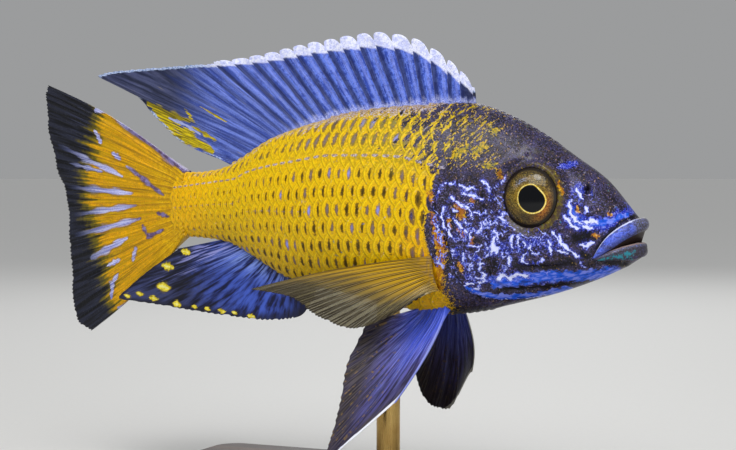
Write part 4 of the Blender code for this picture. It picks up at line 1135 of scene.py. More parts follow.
def lip_line(lip, share):
    """Middle line of a lip and its up and outward directions, as places on the fish."""
    front_height, corner_height, radius, lateness = lip
    turn = share * math.pi / 2
    drop = (1 - np.cos(turn)) ** lateness
    meet = np.abs(share) ** 10
    height = front_height + (corner_height - front_height) * drop
    height = height * (1 - meet) + MOUTH_CORNER[1] * meet
    centre = np.stack([MOUTH_CORNER[0] - MOUTH_REACH * np.cos(turn), MOUTH_HALF_WIDTH * np.sin(turn), height],
                      -1)
    along = np.gradient(centre, share, axis=0)
    along /= np.linalg.norm(along, axis=1, keepdims=True)
    up = np.array([0, 0, 1]) - along * along[:, 2:]
    up /= np.linalg.norm(up, axis=1, keepdims=True)
    size = radius * Curve(LIP_FORM)(np.abs(share))
    return centre, up, np.cross(up, along), size


def mouth_rings(lip, share, sense):
    """Rings from the throat over one lip to the edge of the head. sense is 1 over the mouth, -1 under it."""
    centre, up, out, size = lip_line(lip, share)
    upright = np.sqrt(1 - np.abs(share) ** 8)
    chin = 0.0 if sense > 0 else 1.05 * (1 - ease(np.abs(share), 0.45, 0.85))

    def lip_ring(degrees):
        turn = math.radians(degrees)
        offset = up * (sense * math.sin(turn) * upright)[:, None] + out * (math.cos(turn) * LIP_FLATNESS)
        return centre + offset * (size * (1 + chin * ease(degrees, 10, 75)))[:, None]

    roll = UPPER_ROLL if sense > 0 else LOWER_ROLL
    inner = lip_ring(roll[0])
    rings = []
    for depth in (1.0, 0.8, 0.55, 0.32, 0.14):
        ring = inner * (1 - depth) + np.array(THROAT) * depth
        ring[:, 2] += sense * 0.9 * math.sin(math.pi * depth) * upright
        rings.append(ring)
    rings.append(inner)
    rings += [lip_ring(degrees) for degrees in roll[1:]]
    if sense > 0:
        other, other_up, _, other_size = lip_line(LOWER_LIP, share)
        crest = (other + other_up * other_size[:, None])[:, 2]
        first = len(rings) - len(roll)
        for ring, inward, drop in zip(rings[first:], (1.0, 0.62, 0.36), (0.55, 1.0, 1.0)):
            start = lip_ring(-90)
            ring[:] = start - out * (size * inward)[:, None]
            ring[:, 2] = start[:, 2] + np.minimum(crest - start[:, 2], 0) * VALVE_DROP * drop
    return rings, centre, size, upright


def head_paths(share, sense, centre, size, upright):
    """Stations and angles of the rings from the lips to the end of the head, one column per share."""
    over = sense > 0
    chin = 0.0 if over else 1 - ease(np.abs(share), 0.45, 0.85)
    start = centre[:, 0] + 0.35 + 0.3 * np.abs(share) - 0.25 * chin
    height = centre[:, 2] + sense * upright * (size + 0.35 + 0.8 * chin)
    by_height = angle_at(start, height)
    roundness = back_roundness(start) if over else belly_roundness(start)
    by_side = sense * np.arccos(np.clip(np.abs(centre[:, 1]) / half_width(start), 0, 1) ** (roundness / 2))
    shift = ease(np.abs(share), 0.2, 0.5) if over else ease(np.abs(share), 0.5, 0.95)
    first = by_side * (1 - shift) + by_height * shift
    first = np.where(share < 0, sense * math.pi - first, first)
    last = (math.pi / 2 - (math.pi / 2 + CORNER_ANGLE) * share if over
            else -math.pi / 2 + (math.pi / 2 - CORNER_ANGLE) * share)
    steps = np.linspace(0, 1, HEAD_RINGS)[:, None]
    turn = ease(steps, 0.0, 0.45)
    return start + (HEAD_END - start) * steps, first + (last - first) * turn


def eye_frame(hand):
    """Centre of an eye in metres, and its outward, forward and up directions."""
    forward, leftward = headings(EYE_STATION)
    facing = forward * EYE_FACING.x + leftward * EYE_FACING.y * hand + np.array([0, 0, EYE_FACING.z])
    facing /= np.linalg.norm(facing)
    ahead = forward - facing * (forward @ facing)
    ahead /= np.linalg.norm(ahead)
    up = np.cross(facing, ahead) * -hand
    return place(EYE_STATION, hand * EYE_SIDE, EYE_HEIGHT), facing, ahead, up


def eye_surface(distance):
    return EYE_DEPTH * np.sqrt(np.clip(1 - (distance / EYE_RADIUS) ** 2, 0, 1))


def set_eyes(grid, side):
    """Sinks a socket for each eye and raises its fold of skin. Returns how far points are from the eye."""
    apart = np.full(grid.shape[:2], 99.0)
    for hand, _ in HANDS:
        centre, facing, ahead, up = eye_frame(hand)
        offset = (grid - centre) / MM
        out = offset @ facing
        distance = np.hypot(offset @ ahead / EYE_NARROW, offset @ up)
        near = (side * hand > 0) & (distance < 9) & (out > -6)
        rim = eye_surface(SOCKET_RADIUS) + 0.2
        wanted = rim + (out - rim) * ease(distance, SOCKET_RADIUS + 0.2, 8.2)
        wanted += 0.16 * bell(distance - 6.15, 0.4) - 0.12 * bell(distance - 6.95, 0.45)
        wanted = np.where(distance < SOCKET_RADIUS, np.maximum(rim - 1.25 * (SOCKET_RADIUS - distance), -1.5),
                          wanted)
        grid += np.where(near, wanted - out, 0.0)[..., None] * facing * MM
        apart = np.where(near, distance, apart)
    return apart


def smooth_path(path, steps=5):
    """More points on a smooth curve through those of a path."""
    points = np.array(path, float)
    before = np.concatenate([2 * points[:1] - points[1:2], points[:-2], points[-2:-1]])[:len(points) - 1]
    after = np.concatenate([points[2:], 2 * points[-1:] - points[-2:-1]])
    result = []
    for a, b, c, d in zip(before, points[:-1], points[1:], after):
        for t in np.arange(steps) / steps:
            result.append(b + 0.5 * t * (c - a + t * (2 * a - 5 * b + 4 * c - d + t * (3 * (b - c) + d - a))))
    return [*result, points[-1]]


def head_relief(station, height):
    """How far the head's bones, folds, rims and pores stand out of the body's plain form."""
    rim, along = from_path(station, height, smooth_path(GILL_RIM))
    hold = ease(along, 0.03, 0.22) * (1 - ease(along, 0.8, 1.0))
    rise = hold * np.where(rim < 0, 0.42 * np.exp(rim / 1.8), -0.62 * np.exp(-rim / 1.1))
    for path, grown, fading, ridge_at, ridge_width, ridge, groove_width, groove in HEAD_GROOVES:
        apart, along = from_path(station, height, smooth_path(path))
        hold = ease(along, 0, grown) * (1 - ease(along, fading, 1.0))
        rise += hold * (ridge * bell(apart + ridge_at, ridge_width) - groove * bell(apart, groove_width))
    for at, high, size in PORES:
        apart = np.hypot(station - at, height - high)
        rise += 0.08 * bell(apart - size * 1.3, 0.25) - 0.28 * bell(apart, size * 0.7)
    apart = np.hypot(station - NOSTRIL[0], height - NOSTRIL[1])
    rise += 0.28 * bell(apart - 1.05, 0.35) - 1.1 * bell(apart, 0.55)
    lobe = np.hypot((station - LOBE[0]) / 1.3, (height - LOBE[1]) / 5.4)
    return rise + 0.6 * (1 - ease(lobe, 0.5, 1.25))


def relax(grid, first, last, rounds):
    """Smooths the rings between first and last, less towards both ends."""
    count = last - first
    hold = np.sin(np.linspace(0, math.pi, count + 1))[:, None, None]
    for _ in range(rounds):
        part = grid[first:last + 1]
        around = grid[first - 1:last] + grid[first + 1:last + 2] + np.roll(part, 1, 1) + np.roll(part, -1, 1)
        mean = around / 4
        grid[first:last + 1] = part + (mean - part) * 0.7 * hold


def skin_grid():
    """Places of the skin's points as (station, side, height), rings first, and the first ring of the head."""
    halves = []
    for lip, share, sense in ((UPPER_LIP, np.linspace(-1, 1, COLUMNS_OVER + 1), 1),
                              (LOWER_LIP, np.linspace(1, -1, COLUMNS_UNDER + 1), -1)):
        rings, centre, size, upright = mouth_rings(lip, share, sense)
        station, angle = head_paths(share, sense, centre, size, upright)
        body = np.linspace(HEAD_END, SKIN_END, BODY_RINGS + 1)[1:, None] + np.zeros_like(share)
        station = np.concatenate([station, body])
        angle = np.concatenate([angle, np.broadcast_to(angle[-1], body.shape)])
        side, height = section(station, angle)
        halves.append(np.concatenate([np.stack(rings), np.stack([station, side, height], -1)])[:, :-1])
    first = len(rings)
    grid = np.concatenate(halves, axis=1)
    relax(grid, first - 1, first + 14, rounds=30)
    return grid, first


def lip_values(rings, columns, first):
    """How far the skin's points belong to the lips and the mouth, by their ring and column."""
    roll = np.full((rings, columns), 200.0)
    over = np.arange(columns) < COLUMNS_OVER
    roll[:first - len(UPPER_ROLL)] = -170.0
    roll[first - len(UPPER_ROLL):first] = np.where(over,
                                                   *np.array([UPPER_ROLL, LOWER_ROLL], float)[:, :, None])
    aside = np.abs(np.concatenate([np.linspace(-1, 1, COLUMNS_OVER + 1)[:-1],
                                   np.linspace(1, -1, COLUMNS_UNDER + 1)[:-1]]))
    # painted highlight along the top edge of the upper lip
    shine = bell(roll - 84, 20) * ease(aside, 0.2, 0.45) * (1 - ease(aside, 0.95, 1.0))
    teal = 0.6 * bell(roll - 30, 40) * ease(aside, 0.3, 0.55) * (1 - ease(aside, 0.93, 1.0))
    edge = ease(-roll, 40, 66) * (1 - ease(-roll, 100, 125))
    return {
        "lip": ease(roll, -128, -100) * (1 - ease(roll, np.where(over, 100, 30), np.where(over, 125, 75))),
        # the mouth's inside: its own brownish colour darkened with painted shade of the opening
        "gape": np.where(roll < 150, 1 - ease(roll, np.where(over, -75, -125), np.where(over, -38, -85)),
                         0.0),
        "lip_front": np.where(over, 1 - ease(aside, 0.22, 0.6), 0.9) * np.ones_like(roll),
        "lip_under": edge * np.where(over, 0.0, 1.0),
        "lip_shine": np.where(over, shine, 0.0),
        "lip_low": np.where(over, 0.75 * ease(-roll, -15, 40), ease(roll, -50, -10)),
        "teal": np.where(over, 0.0, teal),
    }


def make_skin(settings):
    grid, first = skin_grid()
    station, side, height = grid[..., 0], grid[..., 1], grid[..., 2]
    points = place(station, side, height)
    normal = normals_of(points, wrap=True)
    outward = points - place(station, 0, widest_height(station))
    if np.sum(outward[first + 40:] * normal[first + 40:]) < 0:
        normal = -normal
    ring = np.arange(len(points))[:, None]
    on_head = ease(ring, first, first + 8) * (1 - ease(station, 43, 47))
    cover = coat_cover(station, height)
    rise = head_relief(station, height) * on_head - settings.coat_depth / MM * cover
    points = points + normal * rise[..., None] * MM
    apart = set_eyes(points, side)
    last = points[-1]
    ends = [last + (last.mean(0) - last) * share for share in (0.4, 0.8, 1.0)]
    points = np.concatenate([points, np.stack(ends)])
    values = markings(station, side, height)
    angle = np.where(side >= 0, angle_at(station, height), math.pi - angle_at(station, height))
    for key, numbers in skin_scale_values(station, angle, height).items():
        values[key] = numbers * (cover if key != "pick" else 1.0)
    values["fold"] = ease(apart, 7.4, 6.2) * (0.45 + 0.55 * ease(EYE_STATION - station, 0, 4.5))
    # painted shade: the skin darkens where it dips into the eye's socket
    values["soot"] = np.maximum(values["soot"], ease(apart, 5.75, 5.45))
    values.update(lip_values(*station.shape, first))
    values = {key: np.concatenate([numbers, np.repeat(numbers[-1:], len(ends), 0)])
              for key, numbers in values.items()}
    nodes = ["head", "upper_lip", "lower_jaw", "gill_cover_left", "gill_cover_right", "trunk", "tail_stalk"]
    mesh = make_mesh("skin", points.reshape(-1, 3), grid_faces(*points.shape[:2], wrap=True), values)
    return add_piece("skin", mesh, body_material("wet skin", 0.00006, 0.15, 0.14, 1.42), "head_skin", nodes)


def body_material(name, relief, coat, coat_roughness, index):
    """The material of the skin or the scales, in the user's colours."""
    colours = bpy.context.scene.cichlid_colours
    tones = {"Gold": colours.gold, "Bright Gold": colours.scale_rim, "Slate": colours.slate,
             "Lilac": colours.lilac,
             "Royal Blue": colours.royal_blue, "Azure": colours.azure, "Orange": colours.orange}

    def paint(graph, *_):
        body = graph.node("Group", tones, node_tree=body_paint()).outputs
        return {"Base Color": body["Color"], "Roughness": body["Roughness"], "Bump": (body["Relief"], relief)}

    return new_material(name, paint, Coat_Weight=coat, Coat_Roughness=coat_roughness, Specular_IOR_Level=0.2,
                        IOR=index)


def make_scales(settings):
    """The coat: large scales on the flanks, small ones on nape and breast and the smallest on the face."""
    material = body_material("scales", 0.00004, 0.1, 0.16, 1.45)
    columns = np.arange(0, 60)
    flank_lifts = -settings.coat_depth / MM - 0.2, settings.scale_lift / MM
    for hand, word in HANDS:
        for part, slot, lattice, rows, keep, lifts in (
                ("flank", "body_scales", main_lattice, (-ROWS_OVER, ROWS_UNDER), on_flank, flank_lifts),
                ("nape", "head_skin", nape_lattice, (0, 14), on_nape, (-0.12, 0.1)),
                ("breast", "body_scales", breast_lattice, (0, 9), on_breast, (-0.12, 0.1)),
                ("face", "gill_cover_skin", face_lattice, (-4, 20), on_gill_cover, (-0.1, 0.07))):
            cells = lattice_cells(lattice, columns, np.arange(*rows), keep)
            scale_coat("scales_%s_%s" % (part, word), material, slot, lattice, cells, lifts, hand,
                       coarse=part != "flank", on_head=part == "face")


def from_eye(station, height):
    return np.hypot(station - EYE_STATION, height - EYE_HEIGHT)


def on_flank(station, height, reach, top, foot):
    behind_head = station > coat_front(height) + 0.4
    before_tail = station < SKIN_END - 0.9 - 0.04 * (height - 3.8) ** 2
    return behind_head & before_tail & (reach > top) & (reach < foot)


def on_nape(station, height, *_):
    high = height > 11.2 + 0.25 * np.abs(station - 22)
    return (station > 15.5) & (station < coat_front(height) + 1.2) & high & (from_eye(station, height) > 9.3)


def on_breast(station, height, *_):
    return (station > 28) & (station < coat_front(height) + 1.2) & (height < -13.2 + 0.1 * (station - 28))


def on_gill_cover(station, height, *_):
    """Is a place on the cheek or the gill cover, clear of the eye, the grooves and the rims?"""
    groove = from_path(station, height, smooth_path(PREOPERCLE))[0]
    rim = from_path(station, height, smooth_path(GILL_RIM))[0]
    cover = (rim < -1.3) & (station > 27.5) & (height > -10.5) & (height < 8.5)
    cheek = (station > 17.5) & (station <= 26.8) & (height > -6.4) & (height < 4)
    return (cover | cheek) & (np.abs(groove) > 0.9) & (from_eye(station, height) > 7.4)


flank = Flank()


# Eyes

def eye_material():
    def paint(graph, ease, mix, blend, times, total):
        at = graph.places()
        fine, patches = graph.noise(at, 3800, 2.0, 0.7), graph.noise(at, 700)
        fibres = graph.noise(graph.vector(times("turn", 26.0), times("out", 1.2)), 1.0, 2.0)
        ring = times(graph.bell("pupil", 0.11, 0.2), "ring")
        colour = graph.layers(
            blend("out", 2.6, 4.9, (104, 86, 26), (66, 58, 34)),
            ((140, 108, 26), ease(patches, 0.45, 0.62), 0.6),
            ((176, 96, 26), "warm", 0.85),
            ((172, 146, 62), ease(fine, 0.5, 0.66), 0.6),
            ((34, 27, 18), ease(fine, 0.48, 0.34), 0.85),
            # painted shade of the eye's socket over the iris
            ((40, 32, 24), "brow", 0.8),
            ((52, 42, 26), ease(fibres, 0.46, 0.36), 0.4),
            # painted highlight: a small bluish glint in the iris
            ((120, 150, 205), "glint", ease(fine, 0.4, 0.6), 0.7),
            # painted shade: a dark ring near the iris's rim, where the eye meets its fold of skin
            ((30, 24, 20), ease(total("out", times(patches, 0.25)), 4.95, 5.3)),
            ((1, 2, 6), ease("pupil", 0.02, -0.03)),
            (blend(fine, 0.4, 0.62, (236, 196, 60), (255, 240, 150)), ring, 0.95))
        relief = total(times(fine, ease("pupil", 0.0, 0.3)), times(ring, 0.8))
        return {"Base Color": colour, "Roughness": ease("pupil", 0.0, 0.2, 0.16, 0.42),
                "Bump": (relief, 0.00003)}

    return new_material("eye", paint, Coat_Weight=0.45, Coat_Roughness=0.03, Specular_IOR_Level=0.1, IOR=1.4)


def make_eye(hand, word, material):
    """A domed eye with its pupil, gold ring and iris marked at its points."""
    centre, facing, ahead, up = eye_frame(hand)
    turn = np.linspace(0, 2 * math.pi, EYE_COLUMNS, endpoint=False)[None]
    tilt = np.linspace(0.004, 1, EYE_ROWS)[:, None] * math.pi * EYE_DOME
    out = EYE_RADIUS * np.sin(tilt)
    depth = EYE_DEPTH * np.cos(tilt)
    forward, upward = out * np.cos(turn) * EYE_NARROW, out * np.sin(turn)
    points = centre + (forward[..., None] * ahead + upward[..., None] * up + depth[..., None] * facing) * MM
    degrees = np.degrees(np.arctan2(np.sin(turn), np.cos(turn)))
    off_ahead, off_up = forward - PUPIL_SHIFT[0], upward - PUPIL_SHIFT[1]
    pupil = Curve(PUPIL)(np.degrees(np.arctan2(off_up, off_ahead)))
    front = (np.cos(tilt) > 0) * np.ones_like(turn)
    shape = np.broadcast_shapes(out.shape, turn.shape)

    def turned_from(direction):
        return np.abs(np.mod(degrees - direction + 180, 360) - 180)

    values = {
        "out": np.broadcast_to(out, shape),
        "turn": np.broadcast_to(np.abs(degrees) / 57.3, shape),
        "pupil": np.where(front > 0, np.hypot(off_ahead, off_up) - pupil, 3.0),
        "warm": bell(turned_from(-35), 38) * bell(out - 4.0, 1.0) * front,
        # painted shade of the socket: darker towards the iris's rim and in a patch turned 100 degrees down
        # from the front
        "brow": np.maximum(bell(turned_from(-100), 46) * bell(out - 3.6, 0.9), ease(out, 4.1, 5.2)) * front,
        # painted highlight: where the bluish glint sits, above and behind the pupil
        "glint": bell(turned_from(118), 24) * bell(out - 3.3, 0.45) * front,
        "ring": (0.75 + 0.5 * bell(turned_from(-35) - 25, 60)) * front,
    }
    back = cap_faces((EYE_ROWS - 1) * EYE_COLUMNS, EYE_COLUMNS)[:, ::-1]
    faces = np.concatenate([grid_faces(EYE_ROWS, EYE_COLUMNS, wrap=True), cap_faces(0, EYE_COLUMNS), back])
    mesh = make_mesh("eye_" + word, points.reshape(-1, 3), faces if hand == LEFT else faces[:, ::-1], values)
    return add_piece("eyeball_" + word, mesh, material, "eye", ["eye_" + word])


def cap_faces(start, count):
    """Triangles that close a small ring of points."""
    i = np.arange(1, count - 1)
    return np.stack([np.full_like(i, start), start + i + 1, start + i], -1)


# Fins

def branch_offsets(reach):
    """How far the two partings of a soft ray have spread, in rays."""
    return 0.22 * ease(reach, 0.22, 0.85), 0.10 * ease(reach, 0.5, 1.0)


def ray_crests(ray, reach, spacing, soft_from, width):
    """How near points of a fin are to a ray's crest, 1 on it. Soft rays part twice towards the margin."""
    nearest = np.round(ray)
    off = ray - nearest
    half = width / spacing
    first, second = branch_offsets(reach)
    parted = np.max([bell((off - a * first - b * second) / (half * (1 - 0.35 * reach)), 1)
                     for a in (-1, 1) for b in (-1, 1)], axis=0)
    return np.where(nearest >= soft_from, parted, bell(off / half, 1))


def make_fin(name, node, slot, material, settings, root, tip, rays, soft_from, rows=60, fine=16, slim=1.0,
             ridged=1.0, width=0.24, root_half=0.75, bow=None, lappets=None, spots=None, wave=0.25, seed=1):
    """A fin as one thin closed sheet with its rays raised out of both faces.

    root(ray) and tip(ray) give (station, side, height) and bow(ray) how far the middle of a ray bends aside.
    rows and fine are the points along a ray and from ray to ray. slim and ridged are shares of the membrane
    and of the rays' height. In millimetres, width is half a ray's and root_half half the root's thickness.
    """
    thin, ridge, last = settings.membrane / MM * slim, settings.ray_height / MM * ridged, rays - 1
    ray = np.linspace(-FIN_OVERHANG, last + FIN_OVERHANG, int((last + 2 * FIN_OVERHANG) * fine) + 1)
    inside = np.clip(ray, 0, last)
    start_at, end_at = np.stack(root(ray), -1), np.stack(tip(inside), -1)
    start, end, inner = place(*start_at.T), place(*end_at.T), place(*np.stack(root(inside), -1).T)
    end = end + (start - inner) * 1.5
    span = end - start
    length = np.linalg.norm(span, axis=-1) / MM
    dice = np.random.default_rng(seed)
    knots = np.arange(-1, last + 2, 0.25)
    ragged = np.interp(ray, knots, dice.uniform(-1, 1, len(knots)))
    behind = ray - np.floor(ray + 1e-6)
    rise = np.zeros_like(ray)
    if lappets:
        flap = (ray >= 0) & (ray < SPINES_ON_BACK)
        rise = np.where(flap, Curve(LAPPET_FORM)(behind) * lappets(inside), 0.0)
    v = np.linspace(0, 1, rows)[None] ** 0.92
    shape = len(ray), rows
    soft = ease(np.round(ray), soft_from - 1, soft_from)
    nicks = ray_crests(ray, np.ones_like(ray), np.full_like(ray, 2.0), soft_from, 0.2)
    pulled = FIN_FRAY * soft * (0.25 * ragged - 1 + nicks) / length
    here = v + v * ((rise / length)[:, None] * ease(v, 0.78, 1.0) + pulled[:, None] * ease(v, 0.6, 1.0))
    centre = start[:, None] + span[:, None] * here[..., None]
    if bow is not None:
        centre = centre + bow(inside)[:, None] * np.sin(math.pi * v)[..., None] * MM
    if lappets:
        back = np.gradient(end, axis=0)
        back /= np.linalg.norm(back, axis=-1, keepdims=True)
        centre = centre + (back * (rise * LAPPET_LEAN)[:, None])[:, None] * ease(v, 0.85, 1.0)[..., None] * MM
    across = np.gradient(centre, axis=0)
    normal = normals_of(centre)
    spacing = np.linalg.norm(across, axis=2) / MM / (ray[1] - ray[0])
    crest = ray_crests(np.repeat(ray[:, None], rows, 1), np.broadcast_to(v, shape), np.maximum(spacing, 0.3),
                       soft_from, width)
    waves = np.sin(ray * 1.9 + 4 * v.T).T * np.sin(ray[:, None] * 0.61 + 1.3) * ease(v, 0.15, 0.9) * wave
    fold = 0.12 * np.sin(math.pi * behind) ** 2 * np.where(np.floor(ray) % 2 == 0, 1, -1)
    waves = waves + fold[:, None] * ease(v, 0.1, 0.5)
    half = thin * (1 - 0.45 * v) + ridge * crest * (1 - 0.55 * v)
    half = half + (root_half - thin) * np.maximum(0, 1 - v / 0.16) ** 2
    half = half * ease(1 - v, -0.004, 0.02) + 0.03
    offset = normal * half[..., None] * MM
    centre = centre + normal * waves[..., None] * MM
    points = np.concatenate([(centre + offset).reshape(-1, 3), (centre - offset).reshape(-1, 3)])
    where = start_at[:, None] * (1 - here[..., None]) + end_at[:, None] * here[..., None]
    lead = np.concatenate([centre[0], centre[ray < 1, -1]])
    values = {"ray": ray[:, None], "reach": v, "crest": crest,
              "brim": (here[:, -1:] - here) * length[:, None],
              "stem": here * length[:, None], "lead": from_points(centre, lead), "flap": rise[:, None],
              "station": where[..., 0], "height": where[..., 2]}
    for key, strokes in (spots or {}).items():
        values[key] = np.maximum(nearest_stroke(where[..., 0], where[..., 2], strokes, 0.85), 0)
    values = {key: np.tile(np.broadcast_to(numbers, shape).ravel(), 2) for key, numbers in values.items()}
    mesh = make_mesh(name, points, sheet_faces(*shape), values)
    return add_piece(name, mesh, material, slot, [node])


def from_points(grid, points):
    """Distance in millimetres of each place of a grid from the nearest of some points."""
    nearest = np.full(grid.shape[:2], 99.0)
    for point in points:
        nearest = np.minimum(nearest, np.linalg.norm(grid - point, axis=-1) / MM)
    return nearest


def root_place(points, last, height_of, sunk):
    """Stations and heights of a midline fin's ray roots, sunk into the body."""
    curve = Curve(points)

    def root(ray):
        station = curve(np.clip(ray, 0, last)) + np.minimum(ray, 0) * 2 + np.maximum(ray - last, 0) * 1.5
        return station, 0 * station, height_of(station) + sunk

    return root


def fin_material(name, streaks, fleck_size, paint, roughness=(0.4, 0.2), finish=(0.08, 0.2, 0.25)):
    """A fin's membrane. streaks are density, breaks and joints; paint finds streaks and noises by name."""
    def whole(graph, *tools):
        fin = graph.node("Group", dict(zip(("Density", "Breaks", "Joints"), streaks)),
                         node_tree=ray_streaks())
        at = graph.places()
        fleck = graph.noise(at, fleck_size)
        graph.named.update({socket.name: socket for socket in fin.outputs})
        graph.named.update(fleck=fleck, fine=graph.noise(at, 4200, 2.0, 0.7), ragged=graph.uneven(fleck),
                           uneven=graph.uneven("Streak"))
        middle, swing = roughness
        return {"Roughness": graph.total(middle, graph.times("ragged", swing)),
                "Bump": (graph.total("Thread", graph.times("fine", 0.5)), 0.00008), **paint(graph, *tools)}

    coat, coat_roughness, specular = finish
    return new_material(name, whole, Coat_Weight=coat, Coat_Roughness=coat_roughness,
                        Specular_IOR_Level=specular)


def dorsal_material(settings):
    def paint(graph, ease, mix, blend, times, total):
        behind, spined = graph.math("FRACT", "ray"), ease("ray", 18.0, 15.5)
        veins = total(0.5, times("ragged", ease("ray", 17.0, 9.0, 0.25, 1.0)), times("uneven", 1.1),
                      times(graph.uneven("fine"), 0.5))
        rear = ease(total("station", times("uneven", 16.0), times(ease("ray", 23.0, 20.5), 5.0)), 95.0, 109.0)
        foot = ease(total("stem", times("uneven", -4.0), times("ragged", 1.6)), 2.9, 1.4)
        gold = ease(total("gold", times("uneven", 2.4), times(graph.uneven("Thread"), 1.2)), 0.5, 0.9)
        pale = ease(total("pale", times("ragged", 1.2), times("uneven", 1.5)), 0.45, 0.85)
        white = ease(total("brim", times("flap", -1.0), times("ragged", 0.9), times(behind, 0.7)), 1.6, 1.0)
        thread = times(ease(total("brim", times("ragged", 0.5)), 1.15, 0.8), ease("ray", 21.7, 21.2))
        dash = ease(graph.noise(graph.vector(times("ray", 2.6), 0.0), 1.0, 1.0), 0.46, 0.54)
        trail = times(ease(total("brim", times("ragged", 0.8)), 1.5, 1.1), ease("ray", 21.2, 21.7), dash)
        lappet = blend(total("fleck", times("fine", 0.4)), 0.56, 0.84, (192, 199, 246), (230, 233, 253))
        return {"Base Color": graph.layers(
            blend(veins, 0.38, 0.6, settings.cobalt, (94, 122, 226)),
            ((140, 160, 244), ease("Thread", 0.54, 0.7), 0.5),
            ((18, 28, 98), ease("Thread", 0.46, 0.3), 0.6),
            (blend("Streak", 0.4, 0.6, (64, 78, 138), (116, 130, 196)), ease("ray", 8.0, 19.0), 0.45),
            ((136, 152, 236), ease(behind, 0.12, 0.3), ease(behind, 0.5, 0.35), spined, 0.45),
            # painted shade: a dark band in the rear part of each membrane, stronger between the spines
            ((16, 22, 64), ease(total(behind, times("uneven", 0.25)), 0.54, 0.84),
             total(0.45, times(spined, 0.35))),
            ((86, 88, 118), graph.bell(behind, 0.0, 0.07), spined, 0.8),
            ((14, 14, 34), ease("ray", 1.0, 0.6), 0.85),
            (blend("Streak", 0.4, 0.64, (26, 30, 46), (66, 70, 98)), rear, 0.93),
            (blend("fine", 0.42, 0.58, (120, 134, 226), (206, 212, 250)), foot, ease("ray", 19.0, 12.0),
             0.62),
            (blend("Thread", 0.4, 0.6, (110, 98, 10), (206, 184, 4)), gold),
            ((156, 164, 214), pale),
            (blend("fine", 0.4, 0.56, (92, 120, 170), (188, 202, 236)), total(thread, trail), 0.9),
            (lappet, white, ease("ray", 17.0, 15.9)),
            ((20, 24, 60), ease("fine", 0.44, 0.34), 0.3))}

    return fin_material("dorsal fin membrane", (3.2, 3.0, 150.0), 1300, paint)


def make_dorsal_fin(settings):
    last = SPINES_ON_BACK + RAYS_ON_BACK - 1
    spots = {"gold": seen_strokes(DORSAL_GOLD_SEEN) + DORSAL_GOLD_SET,
             "pale": seen_strokes(DORSAL_PALE_SEEN) + DORSAL_PALE_SET}
    material = dorsal_material(bpy.context.scene.cichlid_colours)
    root = root_place(DORSAL_ROOT, last, back_height, -1.3)
    return make_fin("dorsal_sail", "dorsal_fin", "dorsal_fin", material, settings, root,
                    tip_places(DORSAL_MARGIN), last + 1, SPINES_ON_BACK, rows=64, lappets=Curve(LAPPETS),
                    spots=spots, seed=3)


def anal_material():
    def paint(graph, ease, mix, blend, times, total):
        near = ease(total("reach", times("Streak", 0.35)), 0.62, 0.2)
        dark = ease(total("station", times("ragged", 12.0), times("reach", 7.0)), 87.0, 105.0)
        egg = total("egg", times("ragged", 1.1))
        return {"Base Color": graph.layers(
            blend("Streak", 0.38, 0.62, (24, 33, 92), (62, 88, 186)),
            (blend("Thread", 0.4, 0.6, (96, 124, 224), (150, 176, 246)), near, ease("ray", 11.5, 7.5),
             ease("Streak", 0.42, 0.56), 0.95),
            ((11, 17, 48), ease("Streak", 0.45, 0.35), 0.9),
            (blend("Streak", 0.4, 0.62, (14, 14, 24), (52, 56, 88)), dark, 0.92),
            ((150, 152, 214), ease("Streak", 0.5, 0.6), ease("ray", 8.0, 9.5), ease("reach", 0.8, 0.4), 0.8),
            ((14, 16, 40), ease("ray", 4.2, 1.6), ease(total("reach", times("Streak", 0.6)), 0.3, 0.8), 0.9),
            ((20, 20, 36), ease("brim", 2.4, 0.4), 0.8),
            ((44, 38, 50), ease("stem", 2.2, 0.8), 0.6),
            ((120, 104, 30), ease(egg, 0.3, 0.55)),
            (blend("fleck", 0.42, 0.6, (206, 186, 24), (232, 214, 70)), ease(egg, 0.55, 0.85)),
            ((226, 222, 130), ease(egg, 1.15, 1.4)))}

    return fin_material("anal fin membrane", (3.6, 2.6, 120.0), 1100, paint, (0.36, 0.2))


def make_anal_fin(settings):
    last = SPINES_BELOW + RAYS_BELOW - 1
    seen = seen_at([egg[:2] for egg in EGGS_IN_PHOTO], RIGHT * ANAL_SIDE)
    spots = [(s, h, egg[2]) for (s, h), egg in zip(seen, EGGS_IN_PHOTO)] + EGGS_SET
    eggs = [(size * 0.62, [(s - size * 0.75, h - 0.2), (s + size * 0.75, h + 0.2)]) for s, h, size in spots]
    root = root_place(ANAL_ROOT, last, belly_height, 1.2)
    return make_fin("anal_sail", "anal_fin", "anal_fin", anal_material(), settings, root,
                    tip_places(ANAL_MARGIN, RIGHT), last + 1, SPINES_BELOW, spots={"egg": eggs},
                    wave=0.2, seed=5)


